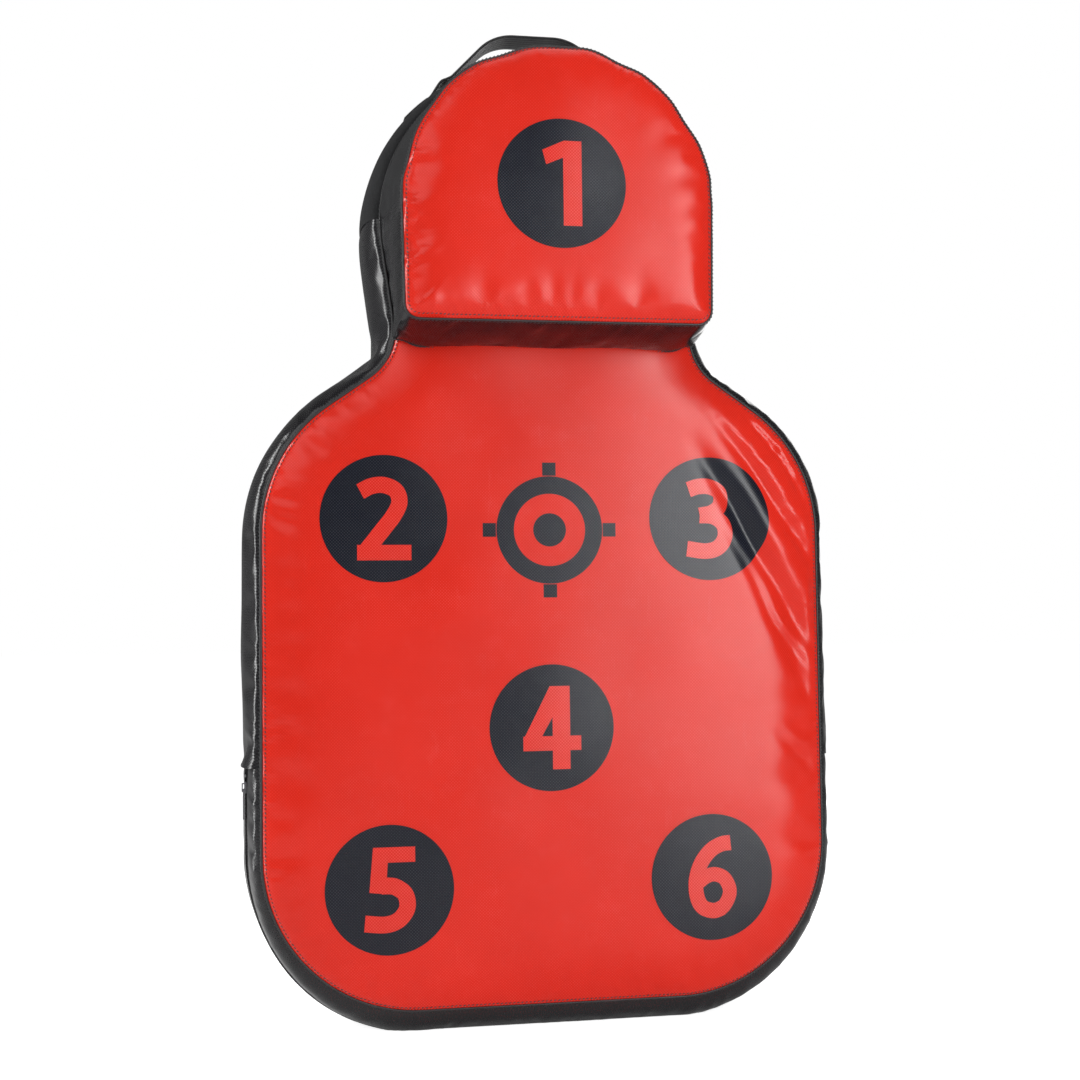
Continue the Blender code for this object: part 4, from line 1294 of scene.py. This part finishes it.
def build_top_handle():
    """Each half runs from its sewn end on the arch, over the hinge line, to the crown."""
    def place(s, h, w):
        return s, w, h

    hinge_x, hinge_z = TOP_HINGE
    radius = ARCH_RADIUS + SIDE_SWELL + 0.0003 + WEB / 2
    for side, way in (("left", -1), ("right", 1)):
        sewn = [
            (way * radius * math.cos(a), ARCH_HEIGHT + radius * math.sin(a))
            for a in np.radians(np.linspace(42.0, 53.5, 9))
        ]
        sewn += [(way * 0.1005, 0.9862), (way * 0.0945, 0.9895)]
        arch = rounded_line([(way * hinge_x, hinge_z, 0.0), (way * 0.043, 1.040, 0.050), (0.0, 1.040, 0.0)])
        line = curved([*sewn, (way * hinge_x, hinge_z)], 0.002)
        whole = np.vstack([line, np.array([tuple(p) for p in arch])[1:]])
        along = np.r_[0.0, np.cumsum(np.hypot(*np.diff(whole, axis=0).T))]
        at = np.linspace(0.0, along[-1], int(along[-1] / 0.0024))
        points = np.column_stack([np.interp(at, along, whole[:, k]) for k in (0, 1)])
        ahead = np.gradient(points, axis=0)
        ahead /= np.linalg.norm(ahead, axis=1)[:, None]
        normals = np.column_stack([-ahead[:, 1], ahead[:, 0]]) * -way
        made = strap(f"top_handle_{side}_half", (points, normals, at), 0.038, WEB, place)
        made.data.materials.append(LOOKS["webbing"])
        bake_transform(made)
        nodes = [f"top_handle_{side}_tab"] + (["top_handle_webbing"] if side == "left" else [])
        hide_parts(*nodes)
        lifted = radius + WEB / 2 + 0.0002

        def on_arch(s, w, way=way, lifted=lifted):
            angle = s / lifted
            return way * lifted * math.cos(angle), w, ARCH_HEIGHT + lifted * math.sin(angle)

        middle = (math.radians(47.6) * lifted, 0.0)
        box_stitches(f"top_handle_{side}_box_stitch", middle, (0.0135, 0.0145), on_arch)


def patch(name, x, z, half_width, half_height, node):
    """A sewn reinforcement patch with cut corners and a stitched border."""
    clip = 0.010
    outline = np.array([
        (half_width - clip, -half_height), (half_width, clip - half_height),
        (half_width, half_height - clip), (half_width - clip, half_height),
        (clip - half_width, half_height), (-half_width, half_height - clip),
        (-half_width, clip - half_height), (clip - half_width, -half_height),
    ])
    loops = []
    for inset, h in ((0.0, -0.0006), (0.0, 0.0010), (0.0006, 0.0016), (0.004, 0.0018)):
        shrunk = outline * (1.0 - inset / np.array([half_width, half_height]))
        loops.append(np.column_stack([x + shrunk[:, 0], np.full(8, BACK + h), z + shrunk[:, 1]]))
    points = np.vstack(loops)
    faces = [tuple(range(8)), tuple(range(24, 32))[::-1]]
    for ring in range(3):
        for k in range(8):
            j = (k + 1) % 8
            faces.append((ring * 8 + k, ring * 8 + j, ring * 8 + 8 + j, ring * 8 + 8 + k))
    fabric = np.column_stack([points[:, 0], points[:, 2], np.zeros(len(points))])
    made = new_object(name, points, faces, fabric)
    tidy_faces(made)
    dress(made, "shield", LOOKS["gloss_black"], VINYL, node)
    border = outline * (1.0 - 0.0040 / np.array([half_width, half_height]))
    path = np.column_stack([x + border[:, 0], np.full(8, BACK + 0.0020), z + border[:, 1]])
    row = stitch_row(f"{name}_stitches", path, 0.0042, 0.0032, 0.00045)
    dress(row, "shield", LOOKS["pale_thread"], VINYL)


def build_grip(side, x):
    """A grip's two webbing halves and its padded sleeve."""
    z, end, rise, reach = GRIP_HEIGHT, 0.096, 0.0086, 0.052
    place = on_back(x, z)
    patch(f"{side}_grip_patch_cover", x, z, 0.030, 0.149, f"{side}_grip_patch")
    tab_rise = TAB_RISE
    for name, way in (("lower", -1), ("upper", 1)):
        corners = [
            (way * (end + 0.045), tab_rise, 0.0), (way * (end + 0.0143), tab_rise, 0.012),
            (way * (end + 0.003), rise, 0.008),
            (way * (end - 0.008), rise, 0.010), (way * (end - 0.033), reach, 0.012), (way * 0.0, reach, 0.0),
        ]
        points, normals, at = strap_line(corners)
        made = strap(f"{side}_grip_{name}_webbing", (points, normals * -way, at), 0.025, WEB, place)
        made.data.materials.append(LOOKS["webbing"])
        sewn, free = (x, BACK + rise, z + way * (end + 0.004)), (x, BACK + rise, z + way * (end - 0.024))
        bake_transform(made)
        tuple(sewn)
        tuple(free)
        nodes = [f"{side}_grip_{name}_tab"] + ([f"{side}_grip_webbing"] if name == "lower" else [])
        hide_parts(*nodes)
        box_stitches(
            f"{side}_grip_{name}_box_stitch",
            (way * (end + 0.0295), 0.0),
            (0.0130, 0.0095),
            lambda s, w: (x + w, BACK + tab_rise + WEB / 2 + 0.0002, z + s),
        )
    build_sleeve(side, place)


def build_sleeve(side, place):
    """A padded sleeve with gathered ends and a sewn seam along its back."""
    half, hole = 0.055, (0.0131, 0.0016)
    sides, steps = 40, 44
    centre = 0.052
    loops = []
    for step in range(steps + 1):
        part = -1.0 + 2.0 * step / steps
        s = part * half
        crown = (1.0 - 0.22 * abs(part) ** 5)
        ring = []
        for k in range(sides):
            angle = 2 * math.pi * k / sides
            c, d = math.cos(angle), math.sin(angle)
            seam = math.exp(-((angle - 1.5 * math.pi) / 0.10) ** 2)
            rumple = 1.0 + 0.020 * float(wave_noise(s + 0.013 * angle, 0.012, 5))
            rumple += 0.012 * float(wave_noise(angle * 3.0, 1.0, 9))
            size = crown * rumple * (1.0 - 0.07 * seam)
            ring.append((s, centre + 0.0142 * d * size, 0.0178 * c * size))
        loops.append(ring)
    inner = []
    for s in (half * 0.98, -half * 0.98):
        ring = []
        for k in range(sides):
            angle = 2 * math.pi * k / sides
            c = max(-1.0, min(1.0, 1.45 * math.cos(angle)))
            d = max(-1.0, min(1.0, 1.45 * math.sin(angle)))
            ring.append((s, centre + hole[1] * d, hole[0] * c))
        inner.append(ring)
    rolled = []
    for ring in (loops[-1], loops[0]):
        end = math.copysign(half * 1.012, ring[0][0])
        rolled.append([(end, centre + (h - centre) * 0.80, w * 0.82) for _, h, w in ring])
    loops = [rolled[1], *loops, rolled[0], inner[0], inner[1]]
    points = [place(s, h, w) for ring in loops for s, h, w in ring]
    fabric = [(s, 0.016 * 2 * math.pi * k / sides, 0.0) for ring in loops for k, (s, h, w) in enumerate(ring)]
    faces = []
    for i in range(len(loops)):
        j = (i + 1) % len(loops)
        for k in range(sides):
            m = (k + 1) % sides
            faces.append((i * sides + k, i * sides + m, j * sides + m, j * sides + k))
    made = new_object(f"{side}_grip_sleeve_cover", points, faces, fabric)
    tidy_faces(made)
    refine(made)
    made.data.shade_smooth()
    dress(made, f"{side}_grip", LOOKS["gloss_black"], VINYL, f"{side}_grip_sleeve")
    for name, way in (("lower", -1), ("upper", 1)):
        ring = [
            place(way * half * 0.86, centre + 0.0147 * math.sin(a), 0.0180 * math.cos(a))
            for a in np.radians(np.arange(0, 360, 6))
        ]
        row = stitch_row(f"{side}_sleeve_{name}_stitches", ring, 0.0036, 0.0028, 0.0004)
        dress(row, f"{side}_grip", LOOKS["pale_thread"], "webbing")


def pad_plate(name, place, span, half_width, rise, look, body, node):
    """Hook or loop tape: a thin plate with a tufted face."""
    columns, rows = 16, max(8, int((span[1] - span[0]) / 0.003))
    rng = np.random.default_rng(len(name))
    grids = []
    for h, rough in ((rise[1], 0.00035), (rise[0], 0.0)):
        grid = [
            place(s, h - rough * rng.uniform(0.0, 1.0), w)
            for s in np.linspace(*span, rows + 1)
            for w in np.linspace(-half_width, half_width, columns + 1)
        ]
        grids.append(grid)
    points = grids[0] + grids[1]
    across = columns + 1
    count = (rows + 1) * across
    faces = []
    for i in range(rows):
        for k in range(columns):
            a = i * across + k
            faces.append((a, a + 1, a + across + 1, a + across))
            faces.append((count + a, count + a + across, count + a + across + 1, count + a + 1))
    rim = [k for k in range(across)] + [i * across + columns for i in range(1, rows + 1)]
    rim += [rows * across + k for k in range(columns - 1, -1, -1)]
    rim += [i * across for i in range(rows - 1, 0, -1)]
    for a, b in zip(rim, rim[1:] + rim[:1]):
        faces.append((a, b, b + count, a + count))
    fabric = [(p[0], p[2], 0.0) for p in points]
    made = new_object(name, points, faces, fabric)
    tidy_faces(made)
    return dress(made, body, LOOKS[look], "hook_and_loop", node)


def build_forearm_strap(side, x):
    """A fixed under strap, a flap, and hook and loop tape between."""
    z, end, reach, web = FOREARM_HEIGHT, 0.085, 0.0555, FOREARM_WEB
    place = on_back(x, z)
    patch(f"{side}_forearm_patch_cover", x, z, 0.0375, 0.130, f"{side}_forearm_patch")
    rise = 0.0003 + 0.0015 + 0.0003 + web / 2
    corners = [
        (-end - 0.036, rise, 0.0), (-end, rise, 0.010), (-end + 0.016, reach, 0.022), (0.055, reach, 0.0),
    ]
    points, normals, at = strap_line(corners)
    made = strap(f"{side}_forearm_under_webbing", (points, normals, at), 0.055, web, place)
    dress(made, "shield", LOOKS["webbing"], "webbing", f"{side}_forearm_under_strap")
    low = reach + web / 2 + 0.0003
    for kind, span, half_width, heights, body in (
        ("loop", (-0.045, 0.050), 0.0225, (low, low + 0.0012), "shield"),
        ("hook", (-0.030, 0.030), 0.0215, (low + 0.0015, low + 0.0025), f"{side}_flap"),
    ):
        node = f"{side}_forearm_{kind}_pad"
        pad_plate(f"{side}_{kind}_tape", place, span, half_width, heights, kind, body, node)
    flap_reach = low + 0.0028 + web / 2
    hinge = 0.0078
    corners = [
        (end + 0.036, rise, 0.0), (end + 0.006, rise, 0.010), (end, hinge, 0.006),
        (end - 0.010, flap_reach, 0.020), (-0.040, flap_reach, 0.0),
    ]
    points, normals, at = strap_line(corners)
    made = strap(f"{side}_forearm_flap_webbing", (points, -normals, at), 0.055, web, place)
    made.data.materials.append(LOOKS["webbing"])
    sewn, free = (x, BACK + 0.004, z + end + 0.004), (x, BACK + 0.022, z + end - 0.004)
    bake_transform(made)
    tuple(sewn)
    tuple(free)
    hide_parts(f"{side}_forearm_flap", f"{side}_forearm_flap_tab")
    for name, way in (("lower", -1), ("upper", 1)):
        box_stitches(
            f"{side}_forearm_{name}_box_stitch",
            (way * (end + 0.0205), 0.0),
            (0.0115, 0.0215),
            lambda s, w: (x + w, BACK + rise + web / 2 + 0.0002, z + s),
        )
    rows = (
        ("under", "shield", 0.0495, reach - web / 2 - 0.0002),
        ("flap", f"{side}_flap", -0.0350, flap_reach + web / 2 + 0.0002),
    )
    for name, body, s, h in rows:
        path = [place(s, h, w) for w in np.linspace(-0.0245, 0.0245, 9)]
        row = stitch_row(f"{side}_forearm_{name}_hem", path, 0.0036, 0.0028, 0.00045, closed=False)
        dress(row, body, LOOKS["pale_thread"], "webbing")


build_top_handle()
for side, x in GRIP_PLACES:
    build_grip(side, x)
for side, x in FOREARM_PLACES:
    build_forearm_strap(side, x)


# Zip: woven tapes, a coil of nylon teeth, and the metal slider, pull and stops

def wall_point(station, y, depth):
    """A point of the torso's wall at a fractional station, a depth below its surface."""
    count = STATIONS
    k, part = int(math.floor(station)), station - math.floor(station)
    here = TORSO["points"][k % count] * (1 - part) + TORSO["points"][(k + 1) % count] * part
    normal = TORSO["normals"][k % count] * (1 - part) + TORSO["normals"][(k + 1) % count] * part
    amount = SIDE_SWELL + (BOTTOM_SWELL - SIDE_SWELL) * max(0.0, -normal[1]) ** 2
    out = amount * float(swell(np.array(y / WALL_HALF))) - depth
    return np.array((here[0] + normal[0] * out, y, max(here[1] + normal[1] * out, depth))), normal


def build_coil():
    """One small loop of nylon for every tooth, in two halves that mesh."""
    start, stop = STATIONS - LOW_JOINT, STATIONS + LOW_JOINT
    length = (stop - start) * TORSO["length"] / STATIONS
    pitch = 0.0022
    teeth = int(length / pitch)
    for name, way, phase in (("front", -1, 0.0), ("rear", 1, 0.5)):
        points, faces, fabric = [], [], []
        for number in range(teeth):
            station = start + (number + 0.25 + phase) * (stop - start) / (teeth + 1)
            centre, normal = wall_point(station, ZIP_LINE + way * 0.00085, 0.0013)
            out = np.array((normal[0], 0.0, normal[1]))
            along = np.array((-normal[1], 0.0, normal[0]))
            first = len(points)
            for level, size in ((-0.5, 1.0), (0.35, 1.0), (0.5, 0.6)):
                for a, b in ((-1, -1), (1, -1), (1, 1), (-1, 1)):
                    p = centre + along * a * 0.00058 * size + out * level * 0.0013
                    p[1] += b * 0.00105 * size
                    points.append(p)
                    fabric.append((number * pitch + a * 0.0006, b * 0.001, 0.0))
            for ring in (0, 4):
                for k in range(4):
                    m = (k + 1) % 4
                    low = first + ring
                    faces.append((low + k, low + m, low + 4 + m, low + 4 + k))
            faces.append((first + 3, first + 2, first + 1, first))
            faces.append((first + 8, first + 9, first + 10, first + 11))
        made = new_object(f"zip_{name}_teeth", points, faces, fabric)
        tidy_faces(made)
        dress(made, "shield", LOOKS["zip_teeth"], "zip_nylon", f"zip_coil_{name}")


build_coil()
nodes = frame["nodes"]
for name in ("zip_tape_front", "zip_tape_rear", "zip_slider", "zip_pull", "zip_stop_left", "zip_stop_right"):
    piece = nodes[name]
    if not piece.material_slots:
        piece.data.materials.append(LOOKS["metal"])
    for slot in piece.material_slots:
        slot.material = LOOKS["zip_tape" if "tape" in name else "metal"]
    if "tape" not in name:
        rounded = piece.modifiers.new("rounded", "BEVEL")
        rounded.width = 0.00025
        rounded.segments = 2
        rounded.limit_method = "ANGLE"


# Stage: floor, lights and camera

def stage_floor():
    """A pale floor: a flat plane that reaches far round the object."""
    look = bpy.data.materials.new("paper")
    look.use_nodes = True
    shader = look.node_tree.nodes["Principled BSDF"]
    shader.inputs["Base Color"].default_value = (0.93, 0.93, 0.93, 1.0)
    shader.inputs["Roughness"].default_value = 0.9
    shader.inputs["Specular IOR Level"].default_value = 0.1
    tree = look.node_tree
    glow = tree.nodes.new("ShaderNodeEmission")
    glow.inputs["Strength"].default_value = 0.76
    shader.inputs["Emission Color"].default_value = (1.0, 1.0, 1.0, 1.0)
    shader.inputs["Emission Strength"].default_value = 0.10
    seen = tree.nodes.new("ShaderNodeAddShader")
    mix = tree.nodes.new("ShaderNodeMixShader")
    rays = tree.nodes.new("ShaderNodeLightPath")
    tree.links.new(shader.outputs["BSDF"], seen.inputs[0])
    tree.links.new(glow.outputs["Emission"], seen.inputs[1])
    tree.links.new(rays.outputs["Is Camera Ray"], mix.inputs["Fac"])
    tree.links.new(shader.outputs["BSDF"], mix.inputs[1])
    tree.links.new(seen.outputs["Shader"], mix.inputs[2])
    tree.links.new(mix.outputs["Shader"], tree.nodes["Material Output"].inputs["Surface"])
    mesh = bpy.data.meshes.new("floor")
    half = 30.0
    corners = [(-half, -half, 0.0), (half, -half, 0.0), (half, half, 0.0), (-half, half, 0.0)]
    mesh.from_pydata(corners, [], [(0, 1, 2, 3)])
    floor = bpy.data.objects.new("floor", mesh)
    mesh.materials.append(look)
    bpy.context.scene.collection.objects.link(floor)


def soft_light(name, place, target, size, power, colour=(1.0, 1.0, 1.0)):
    data = bpy.data.lights.new(name, "AREA")
    data.shape = "RECTANGLE"
    data.size, data.size_y = size
    data.energy = power
    data.color = colour
    made = bpy.data.objects.new(name, data)
    made.location = place
    made.rotation_mode = "QUATERNION"
    made.rotation_quaternion = (Vector(target) - Vector(place)).to_track_quat("-Z", "Y")
    made.visible_camera = False
    bpy.context.scene.collection.objects.link(made)
    return made


def white_surround(camera_strength, light_strength):
    """A white world to look at, which lights the object more softly than it shows."""
    world = bpy.data.worlds.new("surround")
    world.use_nodes = True
    bpy.context.scene.world = world
    tree = world.node_tree
    base = tree.nodes["Background"]
    base.inputs["Color"].default_value = (1.0, 1.0, 1.0, 1.0)
    base.inputs["Strength"].default_value = light_strength
    seen = tree.nodes.new("ShaderNodeBackground")
    seen.inputs["Color"].default_value = (1.0, 1.0, 1.0, 1.0)
    seen.inputs["Strength"].default_value = camera_strength
    mix = tree.nodes.new("ShaderNodeMixShader")
    rays = tree.nodes.new("ShaderNodeLightPath")
    tree.links.new(rays.outputs["Is Camera Ray"], mix.inputs["Fac"])
    tree.links.new(base.outputs["Background"], mix.inputs[1])
    tree.links.new(seen.outputs["Background"], mix.inputs[2])
    tree.links.new(mix.outputs["Shader"], tree.nodes["World Output"].inputs["Surface"])


def make_camera():
    data = bpy.data.cameras.new("camera")
    data.sensor_width = 36.0
    data.lens = 53.07
    camera = bpy.data.objects.new("camera", data)
    bpy.context.scene.collection.objects.link(camera)
    bpy.context.scene.camera = camera
    azimuth, elevation, roll = (math.radians(angle) for angle in (-10.3, -3.2, -0.7))
    flat = math.cos(elevation)
    back = Vector((math.sin(azimuth) * flat, -math.cos(azimuth) * flat, math.sin(elevation)))
    right = (-back).cross(Vector((0.0, 0.0, 1.0))).normalized()
    up = right.cross(-back)
    turned = right * math.cos(roll) + up * math.sin(roll)
    top = up * math.cos(roll) - right * math.sin(roll)
    matrix = camera.matrix_world.copy()
    for row in range(3):
        matrix[row][0], matrix[row][1], matrix[row][2] = turned[row], top[row], back[row]
    matrix.translation = (-0.300, -1.675, 0.403)
    camera.matrix_world = matrix


stage_floor()
soft_light("right_box", (1.13, -2.5, 0.72), (0.2, 0.0, 0.5), (0.66, 1.9), 42.0)
soft_light("front_box", (-1.6, -1.9, 2.0), (0.0, 0.0, 0.45), (2.0, 1.6), 18.0)
soft_light("left_box", (-1.7, 0.25, 0.8), (-0.2, 0.0, 0.5), (0.35, 1.8), 20.0)
soft_light("top_box", (0.4, -0.3, 3.0), (0.0, 0.0, 0.5), (2.4, 1.6), 15.0)
soft_light("rear_box", (1.2, 2.4, 1.3), (0.0, 0.0, 0.5), (1.6, 1.6), 20.0)
white_surround(1.0, 0.16)
make_camera()
bpy.context.scene.view_settings.view_transform = "Standard"
